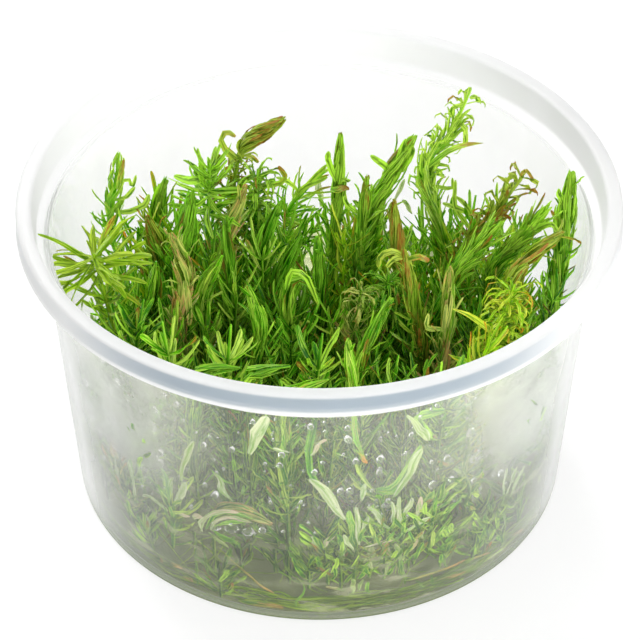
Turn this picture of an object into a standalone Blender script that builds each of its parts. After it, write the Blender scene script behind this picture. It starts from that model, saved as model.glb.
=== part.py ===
"""Tissue culture cup of long leaf rotala.

A clear cup with a folded-over rim holds a disc of clear gel, and separate shoots stand in the gel.
Metres, +Z up. The origin is the middle of the cup's underside. The photograph looks along +Y.
"""

import math

import bmesh
import bpy
from mathutils import Vector
from mathutils.bvhtree import BVHTree

MM = 0.001
GAP = 0.3 * MM

# Cup
RIM_RADIUS = 50 * MM
CUP_HEIGHT = 57.2 * MM
WALL_BOTTOM_RADIUS = 42.3 * MM
WALL_TOP_RADIUS = 45.8 * MM
WALL_THICKNESS = 0.9 * MM
FLOOR_THICKNESS = 0.9 * MM
BASE_CORNER = 2.3 * MM
LEDGE_HEIGHT = 51.4 * MM
LEDGE_RADIUS = 46.9 * MM
LEDGE_RISE = 0.4 * MM
RIM_WIDTH = 2.2 * MM
RIM_THICKNESS = 1.2 * MM
RIM_ROUNDING = 0.6 * MM
SKIRT_DROP = 3.8 * MM
SKIRT_THICKNESS = 1.1 * MM
SKIRT_SPREAD = 0.2 * MM
ROUND_STEPS = 40
# How far the middle of a round corner stands in from a sharp one, as a share of the corner's radius
ROUND_INSET = 1 - math.sqrt(0.5)

# Gel
GEL_TOP = 16.8 * MM
GEL_CORNER = 2.4 * MM

# Shoots
FOOT_DEPTH = 9 * MM
FOOT_RADIUS = 1.1 * MM
FOOT_RISE = 0.5 * MM
POCKET_SIDES = 6
POCKET_REACH = 1 * MM
STEM_RESOLUTION = 1
STEM_STEP = 0.03
LEAF_THICKNESS = 0.8 * MM
LEAF_ROOT = 0.2 * MM
LEAF_SIDES = 3
LEAF_FULLNESS = 1.15
LEAF_BEND = 0.12
GOLDEN_ANGLE = math.radians(137.5)

GREEN = (0.10, 0.32, 0.03)
BRIGHT = (0.28, 0.55, 0.06)
BROWN = (0.28, 0.19, 0.07)
TAN = (0.45, 0.42, 0.22)

# How a kind of shoot is shaped: stem radii (mm) above the gel from foot to tip, then its leaves' number,
# where they start and end along the stem, their length and width (mm), and their angle from the stem.
KINDS = {
    "brush": ((1.1, 1.4, 1.7, 1.4, 0.4), 3, 0.25, 0.75, 8.5, 1.8, 24),
    "stout": ((1.1, 1.7, 2.2, 1.9, 0.5), 4, 0.2, 0.8, 8.5, 2.0, 26),
    "bent": ((1.0, 1.1, 1.4, 1.6, 0.4), 3, 0.3, 0.85, 7.5, 1.8, 30),
    "whorl": ((0.9, 0.8, 1.0, 0.6), 7, 0.75, 0.95, 8.5, 2.0, 64),
    "star": ((0.9, 0.8, 1.0, 0.8), 11, 0.88, 0.96, 11.0, 2.0, 76),
    "curly": ((0.9, 1.0, 1.7, 1.0), 5, 0.65, 0.95, 6.5, 1.8, 58),
    "open": ((0.9, 1.0, 1.2, 0.4), 6, 0.45, 0.9, 8.5, 1.8, 34),
    "leaf": ((0.9, 1.0, 1.5, 1.3, 0.3), 2, 0.2, 0.5, 7.0, 1.8, 30),
    "low": ((0.9, 0.9, 1.0, 0.5), 5, 0.45, 0.95, 7.5, 2.0, 55),
}

# Every shoot: name, kind, colour, foot (x, y), then its stem's points above the gel up to its tip, in mm.
SHOOTS = (
    ("tuft_shoot", "open", BRIGHT, (-34, 18), (-36, 18, 34), (-35.5, 18, 43), (-34, 17, 53)),
    ("curved_leaf_shoot", "leaf", GREEN, (-27, 22), (-28.5, 20, 34), (-28, 19.5, 40), (-26.5, 19, 46)),
    ("back_whorl_shoot", "whorl", GREEN, (-20, 14), (-19.5, 13, 35), (-18.5, 14, 53)),
    ("twin_head_shoot", "bent", BROWN, (-15, 21), (-15, 19, 40), (-13, 18, 53), (-6, 16, 61)),
    ("round_head_shoot", "curly", GREEN, (-10, 17), (-11, 16, 40), (-10.5, 15, 51)),
    ("back_sprig_shoot", "open", BRIGHT, (-7, 25), (-6, 23, 34), (-2.5, 22, 41), (1, 21, 46)),
    ("tall_spindle_shoot", "brush", GREEN, (1, 13), (2.5, 13, 35), (3.5, 14, 59)),
    ("short_spindle_shoot", "brush", GREEN, (7, 7), (6.5, 8, 36), (8, 8, 54.5)),
    ("leaning_shoot", "stout", GREEN, (7, 14), (9, 13, 42), (12, 14, 50), (16, 15, 58)),
    ("tallest_shoot", "bent", BRIGHT, (23, 13), (21, 15, 36), (18.5, 21, 46), (23, 25, 52), (26, 27, 59)),
    ("right_sprig_shoot", "open", BRIGHT, (27, 16), (26, 16, 34), (27, 18, 43)),
    ("twisted_shoot", "bent", BROWN, (22, 3), (24, 3, 40), (29, 6, 47), (34.5, 9, 55)),
    ("brush_head_shoot", "stout", GREEN, (28, -2), (29, -1, 40), (33, 0, 47), (38, 1, 54)),
    ("brown_bundle_shoot", "bent", BROWN, (30, -11), (31.5, -9, 44), (35, -6, 49), (40, -4, 52.5)),
    ("wall_spindle_shoot", "stout", GREEN, (37.5, 3), (40, 3, 32), (41, 4, 45), (42, 6, 57)),
    ("middle_brush_shoot", "stout", GREEN, (20, -5), (22, -4, 41), (26, -2, 47), (30, 0, 51.5)),
    ("brown_tip_shoot", "brush", BROWN, (14.5, 4), (13.5, 4, 38), (12.5, 6, 51)),
    ("curled_head_shoot", "brush", BROWN, (18, -14), (17.5, -14, 33), (15, -14, 48), (13.5, -14, 57)),
    ("tan_spindle_shoot", "brush", TAN, (20, -20), (20.5, -19, 36), (21, -18, 56)),
    ("green_spindle_shoot", "brush", GREEN, (4, -24), (6.5, -24, 41), (11.5, -21, 52.5)),
    ("front_spindle_shoot", "brush", BRIGHT, (6, -32), (5.5, -32, 40), (4.5, -32, 53)),
    ("bushy_shoot", "curly", BRIGHT, (27, -21), (29, -20, 42), (31.5, -18, 53)),
    ("yellow_whorl_shoot", "low", BRIGHT, (24, -26.5), (25.5, -27.5, 42), (30, -26, 51)),
    ("centre_spindle_shoot", "brush", GREEN, (0.5, 1), (0.5, 1, 34), (-0.5, 1, 47)),
    ("arch_shoot", "leaf", GREEN, (-5, -9), (-5.5, -8, 38), (-4, -8, 46), (-1, -9, 45)),
    ("dark_leaf_shoot", "leaf", GREEN, (-6.5, 2), (-7, 3, 35), (-3, 4.5, 45)),
    ("dark_spindle_shoot", "brush", GREEN, (-11, 8), (-10.5, 8, 37), (-6.5, 9, 48.5)),
    ("dark_tall_shoot", "brush", GREEN, (-15, 0), (-15, 0, 36), (-15.5, 1, 51.5)),
    ("streaked_shoot", "brush", TAN, (-17, 7), (-16.5, 8, 38), (-12.5, 10, 51)),
    ("left_dark_shoot", "stout", GREEN, (-23, 3), (-23, 4, 38), (-21.5, 4, 54.5)),
    ("withered_shoot", "bent", TAN, (-23.5, -10), (-23.5, -10, 38), (-22, -9, 47), (-24, -9, 56)),
    ("bright_leaf_shoot", "leaf", BRIGHT, (-19, -5), (-20, -5, 38), (-16, -7, 50)),
    ("slim_shoot", "brush", GREEN, (-10, -21), (-10, -21, 38), (-9.5, -21.5, 47), (-11.5, -21, 55)),
    ("front_whorl_shoot", "low", BRIGHT, (-15, -27), (-15, -27, 38), (-14, -28, 53)),
    ("left_front_shoot", "low", BRIGHT, (-24, -24), (-24, -25, 38), (-25, -26, 52)),
    ("lying_left_shoot", "leaf", GREEN, (-20, -31), (-20, -31, 42), (-17, -31.5, 46.5), (-12.5, -32, 47.5)),
    ("lying_middle_shoot", "leaf", GREEN, (-11, -33), (-11.5, -33, 44), (-9, -33.5, 48), (-4.5, -34, 49.5)),
    ("lying_right_shoot", "leaf", BRIGHT, (-5, -37), (-5.5, -37, 43), (-3, -37.5, 47.5), (1.5, -37, 49.5)),
    ("star_shoot", "star", BRIGHT, (-34, -5), (-35, -7, 36), (-37, -9, 52)),
    ("left_whorl_shoot", "low", GREEN, (-30, -16), (-30, -17, 38), (-28.5, -17, 49)),
    ("left_round_shoot", "leaf", GREEN, (-28, -3), (-28, -4, 36), (-27, -6, 48)),
    ("right_low_shoot", "low", GREEN, (18, -34), (20, -34.5, 42), (23, -33.5, 50)),
    ("pale_curl_shoot", "curly", TAN, (6, -7), (6, -7, 34), (7, -8, 43.5)),
    ("green_curl_shoot", "curly", GREEN, (12, -5), (11.5, -5, 34), (11.5, -5, 44)),
    ("middle_front_shoot", "low", GREEN, (-2, -28), (-0.5, -28.5, 40), (0.5, -29, 52)),
    ("back_left_shoot", "bent", BROWN, (-27, 9), (-27.5, 8, 36), (-29, 8, 46)),
    ("fan_shoot", "open", BRIGHT, (-24, 12), (-24, 12, 34), (-25, 13, 46)),
    ("right_plantlet", "low", GREEN, (32, -22), (34, -23.5, 26), (34.5, -24, 33)),
    ("front_right_plantlet", "low", BRIGHT, (24, -31), (24.5, -32.5, 22), (23, -34.5, 28)),
    ("front_plantlet", "low", BRIGHT, (11, -36.5), (10, -38.5, 23), (9, -39, 28)),
    ("left_plantlet", "low", GREEN, (-27, -27), (-28, -30, 27), (-28, -31, 34)),
    ("bent_plantlet", "leaf", GREEN, (-17, -35.5), (-16, -37, 21), (-12.5, -39, 23), (-8, -40, 21)),
)


def clear_scene():
    for obj in list(bpy.data.objects):
        bpy.data.objects.remove(obj, do_unlink=True)


def new_collection(name):
    collection = bpy.data.collections.new(name)
    bpy.context.scene.collection.children.link(collection)
    return collection


def plain_material(name, colour, roughness, transmission=0.0, ior=1.45):
    material = bpy.data.materials.new(name)
    material.use_nodes = True
    shader = material.node_tree.nodes["Principled BSDF"]
    shader.inputs["Base Color"].default_value = (*colour, 1.0)
    shader.inputs["Roughness"].default_value = roughness
    shader.inputs["Metallic"].default_value = 0.0
    shader.inputs["Transmission Weight"].default_value = transmission
    shader.inputs["IOR"].default_value = ior
    return material


def mesh_object(name, mesh, collection, material=None):
    obj = bpy.data.objects.new(name, mesh)
    collection.objects.link(obj)
    if material:
        mesh.materials.append(material)
    return obj


def turned(name, profile, collection, material):
    """A body turned about Z from (radius, height) points that run down its outer side."""
    mesh = bpy.data.meshes.new(name)
    points = [(radius, 0.0, height) for radius, height in profile]
    edges = [(i, i + 1) for i in range(len(points) - 1)]
    mesh.from_pydata(points, edges, [])
    obj = mesh_object(name, mesh, collection, material)
    screw = obj.modifiers.new("Turn", "SCREW")
    screw.steps = ROUND_STEPS
    screw.render_steps = ROUND_STEPS
    screw.use_merge_vertices = True
    screw.merge_threshold = 0.00001
    return obj


def cup_profile():
    """From the middle of the inner floor, up inside, over the rim and down outside to the underside."""
    floor = FLOOR_THICKNESS
    inner_bottom = WALL_BOTTOM_RADIUS - WALL_THICKNESS
    inner_top = WALL_TOP_RADIUS - WALL_THICKNESS
    collar = RIM_RADIUS - RIM_WIDTH - RIM_ROUNDING
    skirt = RIM_RADIUS + SKIRT_SPREAD
    skirt_bottom = CUP_HEIGHT - SKIRT_DROP
    under_rim = CUP_HEIGHT - RIM_THICKNESS
    inset = ROUND_INSET * BASE_CORNER
    return [
        (0.0, floor),
        (inner_bottom - BASE_CORNER, floor),
        (inner_bottom, floor + BASE_CORNER),
        (inner_top, LEDGE_HEIGHT),
        (LEDGE_RADIUS, LEDGE_HEIGHT + LEDGE_RISE),
        (collar, CUP_HEIGHT - RIM_ROUNDING),
        (collar + RIM_ROUNDING, CUP_HEIGHT),
        (RIM_RADIUS - RIM_ROUNDING, CUP_HEIGHT),
        (RIM_RADIUS, CUP_HEIGHT - RIM_ROUNDING),
        (skirt, skirt_bottom),
        (skirt - SKIRT_THICKNESS, skirt_bottom),
        (RIM_RADIUS - SKIRT_THICKNESS, under_rim),
        (collar + WALL_THICKNESS, under_rim),
        (LEDGE_RADIUS + WALL_THICKNESS, LEDGE_HEIGHT + LEDGE_RISE - WALL_THICKNESS),
        (WALL_TOP_RADIUS, LEDGE_HEIGHT - WALL_THICKNESS),
        (WALL_BOTTOM_RADIUS, BASE_CORNER),
        (WALL_BOTTOM_RADIUS - inset, inset),
        (WALL_BOTTOM_RADIUS - BASE_CORNER, 0.0),
        (0.0, 0.0),
    ]


def inner_radius(height):
    """The cup's inner radius at a height, at the middle of a facet."""
    flatness = math.cos(math.pi / ROUND_STEPS)
    if height > LEDGE_HEIGHT + LEDGE_RISE:
        return LEDGE_RADIUS * flatness
    low = FLOOR_THICKNESS + BASE_CORNER
    share = (height - low) / (LEDGE_HEIGHT - low)
    outer = WALL_BOTTOM_RADIUS + (WALL_TOP_RADIUS - WALL_BOTTOM_RADIUS) * share
    return (outer - WALL_THICKNESS) * flatness


def gel_profile():
    bottom = FLOOR_THICKNESS + GAP
    corner_height = FLOOR_THICKNESS + BASE_CORNER + GAP
    corner_radius = inner_radius(corner_height) - GAP
    return [
        (0.0, GEL_TOP),
        (inner_radius(GEL_TOP) - GAP, GEL_TOP),
        (corner_radius, corner_height),
        (corner_radius - GEL_CORNER, bottom),
        (0.0, bottom),
    ]


def foot_pockets(name, shoots, collection):
    """One cutter with a prism around every shoot's foot, open above the gel."""
    bm = bmesh.new()
    depth = FOOT_DEPTH + GAP + POCKET_REACH
    radius = FOOT_RADIUS + 2 * GAP
    for shoot in shoots:
        x, y = shoot[3]
        made = bmesh.ops.create_cone(
            bm, cap_ends=True, segments=POCKET_SIDES, depth=depth, radius1=radius, radius2=radius,
        )
        shift = Vector((x * MM, y * MM, GEL_TOP + POCKET_REACH - 0.5 * depth))
        bmesh.ops.translate(bm, verts=made["verts"], vec=shift)
    mesh = bpy.data.meshes.new(name)
    bm.to_mesh(mesh)
    bm.free()
    cutter = mesh_object(name, mesh, collection)
    cutter.hide_render = True
    cutter.display_type = "WIRE"
    return cutter


def smooth_point(points, place):
    """A point of the smooth curve through all points; place runs from 0 to 1."""
    spans = len(points) - 1
    index = min(int(place * spans), spans - 1)
    t = place * spans - index
    a, b = points[index], points[index + 1]
    before = points[index - 1] if index else a - (b - a)
    after = points[index + 2] if index + 2 <= spans else b + (b - a)
    bend = 2 * before - 5 * a + 4 * b - after
    twist = 3 * a - before - 3 * b + after
    return 0.5 * (2 * a + (b - before) * t + bend * t * t + twist * t * t * t)


def stem_points(shoot):
    """The stem's points above the gel, from its foot's top to its tip."""
    x, y = shoot[3]
    route = [Vector((x * MM, y * MM, GEL_TOP + FOOT_RISE))]
    route += [Vector(point) * MM for point in shoot[4:]]
    last = len(KINDS[shoot[1]][0]) - 1
    return [smooth_point(route, i / last) for i in range(last + 1)]


def stem_object(shoot, collection, material):
    """A tapered tube from the foot in the gel to the tip, as a closed mesh."""
    name, kind = shoot[0], KINDS[shoot[1]]
    above = stem_points(shoot)
    foot = Vector((above[0].x, above[0].y, GEL_TOP - FOOT_DEPTH))
    points = [foot] + above
    radii = [FOOT_RADIUS] + [radius * MM for radius in kind[0]]
    curve = bpy.data.curves.new(name, "CURVE")
    curve.dimensions = "3D"
    curve.bevel_depth = 1.0
    curve.bevel_resolution = STEM_RESOLUTION
    curve.use_fill_caps = True
    spline = curve.splines.new("POLY")
    spline.points.add(len(points) - 1)
    for spline_point, point, radius in zip(spline.points, points, radii):
        spline_point.co = (*point, 1.0)
        spline_point.radius = radius
    tube = bpy.data.objects.new(name + ".curve", curve)
    collection.objects.link(tube)
    bpy.context.view_layer.update()
    evaluated = tube.evaluated_get(bpy.context.evaluated_depsgraph_get())
    mesh = bpy.data.meshes.new_from_object(evaluated)
    bpy.data.objects.remove(tube)
    weld(mesh)
    mesh.name = name
    mesh.materials.clear()
    return mesh_object(name, mesh, collection, material)


def weld(mesh):
    bm = bmesh.new()
    bm.from_mesh(mesh)
    bmesh.ops.remove_doubles(bm, verts=bm.verts, dist=0.00001)
    bmesh.ops.recalc_face_normals(bm, faces=bm.faces)
    bm.to_mesh(mesh)
    bm.free()


def add_leaf(bm, root, along, side, length, width, thickness):
    """A pointed keeled leaf from root along a direction, its tip bending upwards."""
    made = bmesh.ops.create_uvsphere(bm, u_segments=LEAF_SIDES, v_segments=LEAF_SIDES, radius=0.5)
    flat = along.cross(side).normalized()
    if flat.z < 0:
        flat = -flat
    for vert in made["verts"]:
        reach = vert.co.z + 0.5
        across, through = LEAF_FULLNESS * vert.co.x, LEAF_FULLNESS * vert.co.y
        spot = root + along * (reach * length) + flat * (LEAF_BEND * length * reach * reach)
        vert.co = spot + side * (across * width) + flat * (through * thickness)


def leaf_places(shoot):
    """Where each leaf of a shoot starts, its direction and its side direction."""
    kind = KINDS[shoot[1]]
    count, start, end, angle = kind[1], kind[2], kind[3], math.radians(kind[6])
    points = stem_points(shoot)
    for number in range(count):
        place = start + (end - start) * number / max(count - 1, 1)
        root = smooth_point(points, place)
        ahead, behind = smooth_point(points, place + STEM_STEP), smooth_point(points, place - STEM_STEP)
        stem = (ahead - behind).normalized()
        outward = stem.orthogonal().normalized()
        side = stem.cross(outward)
        turn = number * GOLDEN_ANGLE + root.x / MM
        away = outward * math.cos(turn) + side * math.sin(turn)
        along = (stem * math.cos(angle) + away * math.sin(angle)).normalized()
        yield root + away * LEAF_ROOT, along, along.cross(away).normalized()


def leaf_is_clear(bm, others):
    """Whether a leaf stays inside the cup, above the gel and off the other shoots."""
    for vert in bm.verts:
        radius = math.hypot(vert.co.x, vert.co.y)
        if vert.co.z < GEL_TOP + GAP or radius > inner_radius(vert.co.z) - GAP:
            return False
    tree = BVHTree.FromBMesh(bm)
    return not any(tree.overlap(other) for other in others)


def tree_of(mesh):
    bm = bmesh.new()
    bm.from_mesh(mesh)
    tree = BVHTree.FromBMesh(bm)
    bm.free()
    return tree


def leaves_mesh(shoot, stem_trees, leaf_trees):
    """All of a shoot's leaves that are clear of its neighbours, in one mesh."""
    kind = KINDS[shoot[1]]
    length, width = kind[4] * MM, kind[5] * MM
    others = [tree for name, tree in stem_trees.items() if name != shoot[0]] + leaf_trees
    kept = bmesh.new()
    own_trees = []
    for root, along, side in leaf_places(shoot):
        trial = bmesh.new()
        add_leaf(trial, root, along, side, length + GAP, width + 2 * GAP, LEAF_THICKNESS + 2 * GAP)
        if leaf_is_clear(trial, others):
            add_leaf(kept, root, along, side, length, width, LEAF_THICKNESS)
            own_trees.append(BVHTree.FromBMesh(trial))
        trial.free()
    mesh = bpy.data.meshes.new(shoot[0] + ".leaves")
    kept.to_mesh(mesh)
    kept.free()
    leaf_trees.extend(own_trees)
    return mesh


def join_leaves(stem, mesh, collection):
    """Fuse the leaves to their stem."""
    leaves = mesh_object(mesh.name, mesh, collection)
    union = stem.modifiers.new("Leaves", "BOOLEAN")
    union.operation = "UNION"
    union.use_self = True
    union.object = leaves
    bpy.context.view_layer.update()
    evaluated = stem.evaluated_get(bpy.context.evaluated_depsgraph_get())
    fused = bpy.data.meshes.new_from_object(evaluated)
    stem.modifiers.clear()
    stem.data = fused
    bpy.data.objects.remove(leaves)


def build_cup(collection):
    material = plain_material("clear_cup", (0.93, 0.95, 0.95), 0.25, transmission=0.9, ior=1.49)
    return turned("cup", cup_profile(), collection, material)


def build_gel(collection, cutters):
    material = plain_material("clear_gel", (0.90, 0.94, 0.88), 0.1, transmission=1.0, ior=1.34)
    gel = turned("culture_gel", gel_profile(), collection, material)
    pockets = gel.modifiers.new("Pockets", "BOOLEAN")
    pockets.operation = "DIFFERENCE"
    pockets.object = foot_pockets("foot_pockets", SHOOTS, cutters)
    return gel


def build_shoots(collection, cutters):
    materials = {}
    stems = []
    for shoot in SHOOTS:
        colour = shoot[2]
        if colour not in materials:
            materials[colour] = plain_material("leaf_%d" % len(materials), colour, 0.45)
        stems.append(stem_object(shoot, collection, materials[colour]))
    stem_trees = {stem.name: tree_of(stem.data) for stem in stems}
    leaf_trees = []
    for shoot, stem in zip(SHOOTS, stems):
        join_leaves(stem, leaves_mesh(shoot, stem_trees, leaf_trees), cutters)


def main():
    clear_scene()
    part = new_collection("tissue_culture_rotala")
    cutters = new_collection("cutters")
    build_cup(part)
    build_gel(part, cutters)
    build_shoots(part, cutters)


main()
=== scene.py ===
"""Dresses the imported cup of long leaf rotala: clear cup, gel, leafy shoots, roots and condensation.

Metres, +Z up, origin in the middle of the cup's underside. The photograph looks along +Y.
"""

import math
import random

import bmesh
import bpy
import numpy as np
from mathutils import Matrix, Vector


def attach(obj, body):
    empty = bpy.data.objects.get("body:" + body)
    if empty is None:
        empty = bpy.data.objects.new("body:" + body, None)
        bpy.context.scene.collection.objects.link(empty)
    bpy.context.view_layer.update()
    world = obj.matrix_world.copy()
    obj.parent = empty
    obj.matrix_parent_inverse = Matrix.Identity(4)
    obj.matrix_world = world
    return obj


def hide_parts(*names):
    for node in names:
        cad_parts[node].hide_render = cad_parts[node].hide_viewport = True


MM = 0.001

# Camera, fitted to the photograph's rim, wall and base outlines
CAMERA_PLACE = (0.0001, -0.3802, 0.3548)
CAMERA_DOWN = math.radians(40.5)
CAMERA_LENS = 164.6
CAMERA_NEAR = 0.01
SENSOR_WIDTH = 36.0
PHOTO_WIDTH = 640

# Stretch of a camera ray on which the inner wall is looked for, and in how many steps
RAY_NEAR = 0.40
RAY_FAR = 0.56
RAY_STEPS = 3200

# Light tent: even surroundings, a faintly glowing floor, and soft lamps (place, power in watts)
TENT_LIGHT = 0.72
FLOOR_SIZE = 1.5
FLOOR_DROP = 0.05 * MM
FLOOR_WHITE = (0.29, 0.29, 0.29)
FLOOR_ROUGHNESS = 0.9
FLOOR_GLOW = 0.70
LAMP_SIZE = 0.4
LAMPS = {"front": ((0.28, -0.62, 0.36), 3.7), "back": ((-0.25, 0.55, 0.65), 5.6)}

# Cup, as in the frame
RIM_RADIUS = 50 * MM
CUP_HEIGHT = 57.2 * MM
WALL_BOTTOM_RADIUS = 42.3 * MM
WALL_TOP_RADIUS = 45.8 * MM
WALL_THICKNESS = 0.9 * MM
FLOOR_THICKNESS = 0.9 * MM
BASE_CORNER = 1.0 * MM
LEDGE_HEIGHT = 51.4 * MM
LEDGE_RISE = 0.4 * MM
LEDGE_RADIUS = 46.9 * MM
SKIRT_DROP = 3.8 * MM
ROUND_STEPS = 160
BEND_STEPS = 5
BEND_ROOM = 0.48
MERGE_DISTANCE = 0.005 * MM
BODY_SHARP_ANGLE = math.radians(50)

# Cup's finish: colours (linear RGB), how light bends, and the share of haze over the clear plastic
CUP_CLEAR = (0.885, 0.885, 0.88)
CUP_IOR = 1.12
CUP_COAT_IOR = 1.18
CUP_COAT_ROUGHNESS = 0.04
WALL_HAZE = (0.02, 0.085)
LOW_WALL_HAZE = 0.2
GRAZING_HAZE = 0.6
RIM_HAZE = 0.6
# Share of the painted shade over the cup's foot
FOOT_PAINTED_SHADE_SHARE = 0.7
VEILED_BACK = (0.88, 0.89, 0.89)
# Painted shade: the haze on the front wall is darker and yellower than at the back
FRONT_VEIL_PAINTED_SHADE = (0.85, 0.83, 0.74)
MILKY_RIM = (0.79, 0.79, 0.79)
# Painted shade: a grey-blue band on the front of the rim's skirt
SKIRT_PAINTED_SHADE = (0.265, 0.325, 0.38)
# Painted shade: dark green over the cup's foot, where the shaded gel and floor under the plants show
FOOT_PAINTED_SHADE = (0.11, 0.18, 0.012)
SHADOW_COLOUR = (0.95, 0.95, 0.95)

# Gel
GEL_TOP = 16.8 * MM
GEL_GAP = 0.04 * MM
GEL_DIP = 0.3 * MM
GEL_RISE = 0.2 * MM
GEL_CLEAR = (0.77, 0.84, 0.48)
GEL_IOR = 1.14
GEL_ROUGHNESS = 0.03
GEL_CLOUDS = 0.36
# The gel's clouds are partly real cloudiness; their colours are painted shade (dark green) and
# painted light (pale yellow streaks)
CLOUD_PAINTED_SHADE = (0.10, 0.15, 0.03)
CLOUD_PAINTED_LIGHT = (0.95, 0.95, 0.64)

# Condensation
FOG_GAP = 0.15 * MM
FOG_SKIN = 0.03 * MM
FOG_MARGIN = 0.6 * MM
FOG_THIN = 0.03
FOG_THICK = 0.14
FOG_MOST = 0.6
FOG_COLOURS = ((0.90, 0.91, 0.86), (0.97, 0.97, 0.94))
WATER_CLEAR = (0.96, 0.97, 0.96)
WATER_IOR = 1.6
DROP_COUNT = 420
DROP_TURNS = (192, 348)
DROP_HEIGHTS = (19, 50)
DROP_GAP = 0.03 * MM
DROP_FLATNESS = 0.8
FINE_DROP = 0.35 * MM
# Turn (degrees), height, half width and half height (mm) of the drops that stand out
LARGE_DROPS = (
    (231.7, 36.9, 0.75, 0.95), (218, 31.9, 0.6, 1.1), (303.8, 37.5, 0.75, 0.8),
    (312.9, 35.4, 0.6, 1.0), (305.4, 30.5, 0.7, 0.6), (295.3, 28.3, 0.75, 0.7),
    (297, 23.2, 1.1, 0.45), (302, 22.6, 0.9, 0.5), (307.3, 20.8, 0.8, 0.9), (246.3, 18.6, 1.0, 0.7),
    (250, 19, 1.2, 0.6), (254, 19.3, 1.0, 0.7),
)

# Roots: round the bottom's edge, and a few at each shoot's foot
EDGE_ROOTS = 200
EDGE_ROOT_STEPS = 12
EDGE_RADIUS = 39.9 * MM
FOOT_ROOTS = 3
FOOT_ROOT_STEPS = 9
FOOT_ROOT_RADIUS = 38.5 * MM
ROOT_RADIUS_GAIN = 0.9
LOWEST_IN_GEL = 1.3 * MM
ROOT_SIDES = 5
ROOT_DRYNESS = (0.0, 0.0, 0.6)

# Leaves
LEAF_THICKNESS = 0.16 * MM
LEAF_ROUGHNESS = 0.18
LEAF_GLOSS = 0.34
LIGHT_THROUGH_LEAF = 0.48
LONG_LEAF = 7 * MM
BRIGHT_FROM = 0.76
BRIGHT_LEAF = 0.8
TINT_BEND = 1.2
WALL_CLEARANCE = 0.3 * MM
PRESSED_CLEARANCE = 0.06 * MM
GOLDEN_ANGLE = math.radians(137.5)
FOOT_DEPTH = 9 * MM
PLANTLET_LOWEST = 6 * MM
TWIST = 0.9
SWINGS = 5
CURVE_END = 0.9999
RING_PLACES = (0.0, 0.08, 0.2, 0.36, 0.54, 0.7, 0.84, 0.94, 1.0)
SMALL_RING_PLACES = (0.0, 0.2, 0.45, 0.7, 0.9, 1.0)
WRAPPED_ANGLE = 10
WRAPPED_OVERSHOOT = 0.7 * MM
WRAPPED_TAPER = 7 * MM
OPEN_ANGLE = 20
CRUMPLE = 0.25 * MM
SHARP_ANGLE = math.radians(38)

# Stems: steps and sides of the tube, then the half-thickness low down and at the tip (mm)
STEM_STEPS = 14
STEM_SIDES = 7
SHOOT_STEM = (0.34, 0.18)
FILLER_STEM = (0.28, 0.15)
SPRIG_STEM = (0.3, 0.18)

# Short shoots between the tall ones stand in a loose grid: its step, its rows to each side, how far
# it reaches from the middle and to the back, and the height of its feet (mm)
FILLER_STEP = 6.3
FILLER_ROWS = 7
FILLER_REACH = 38
FILLER_BACK = 25
FILLER_FOOT = 7.0
FILLER_LOWEST = 3 * MM
# Their looks and their heights above the gel, near the front and behind (mm)
# The darker looks near the front are painted shade, the lighter ones behind painted light
FILLER_DARK_TO = 4
FILLER_NEAR_LOOKS = ("dark", "dark", "green", "bright")
FILLER_FAR_LOOKS = ("green", "bright", "yellow")
FILLER_TALL_TO = 8
FILLER_NEAR_HEIGHTS = (12, 24)
FILLER_FAR_HEIGHTS = (9, 21)

# Young shoots and leaves on the wall; the photograph doesn't show those on its back (degrees, mm)
SPRIG_LOWEST = 2.5 * MM
SPRIG_INSET = 1.0
BACK_SPRIGS = 20
BACK_SPRIG_START = 328
BACK_SPRIG_SPAN = 242
BACK_WALL_LEAVES = 60
BACK_WALL_TURNS = (330, 565)
BACK_WALL_HEIGHTS = (9, 24)

# Seeds of the random draws
SHOOT_SEED = 1000
FILLER_SEED = 77
SPRIG_SEED = 31
WALL_LEAF_SEED = 47
DROP_SEED = 5
ROOT_SEED = 9

# Half-width of a blade at places along it, as a share of its widest
SHAPES = {
    "linear": ((0.0, 0.15, 0.35, 0.75, 0.92, 1.0), (0.5, 0.85, 1.0, 0.92, 0.74, 0.32)),
    "oblong": ((0.0, 0.2, 0.5, 0.8, 0.94, 1.0), (0.3, 0.65, 1.0, 0.95, 0.66, 0.2)),
    "pointed": ((0.0, 0.2, 0.5, 0.8, 1.0), (0.5, 0.95, 0.9, 0.5, 0.06)),
}

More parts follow.
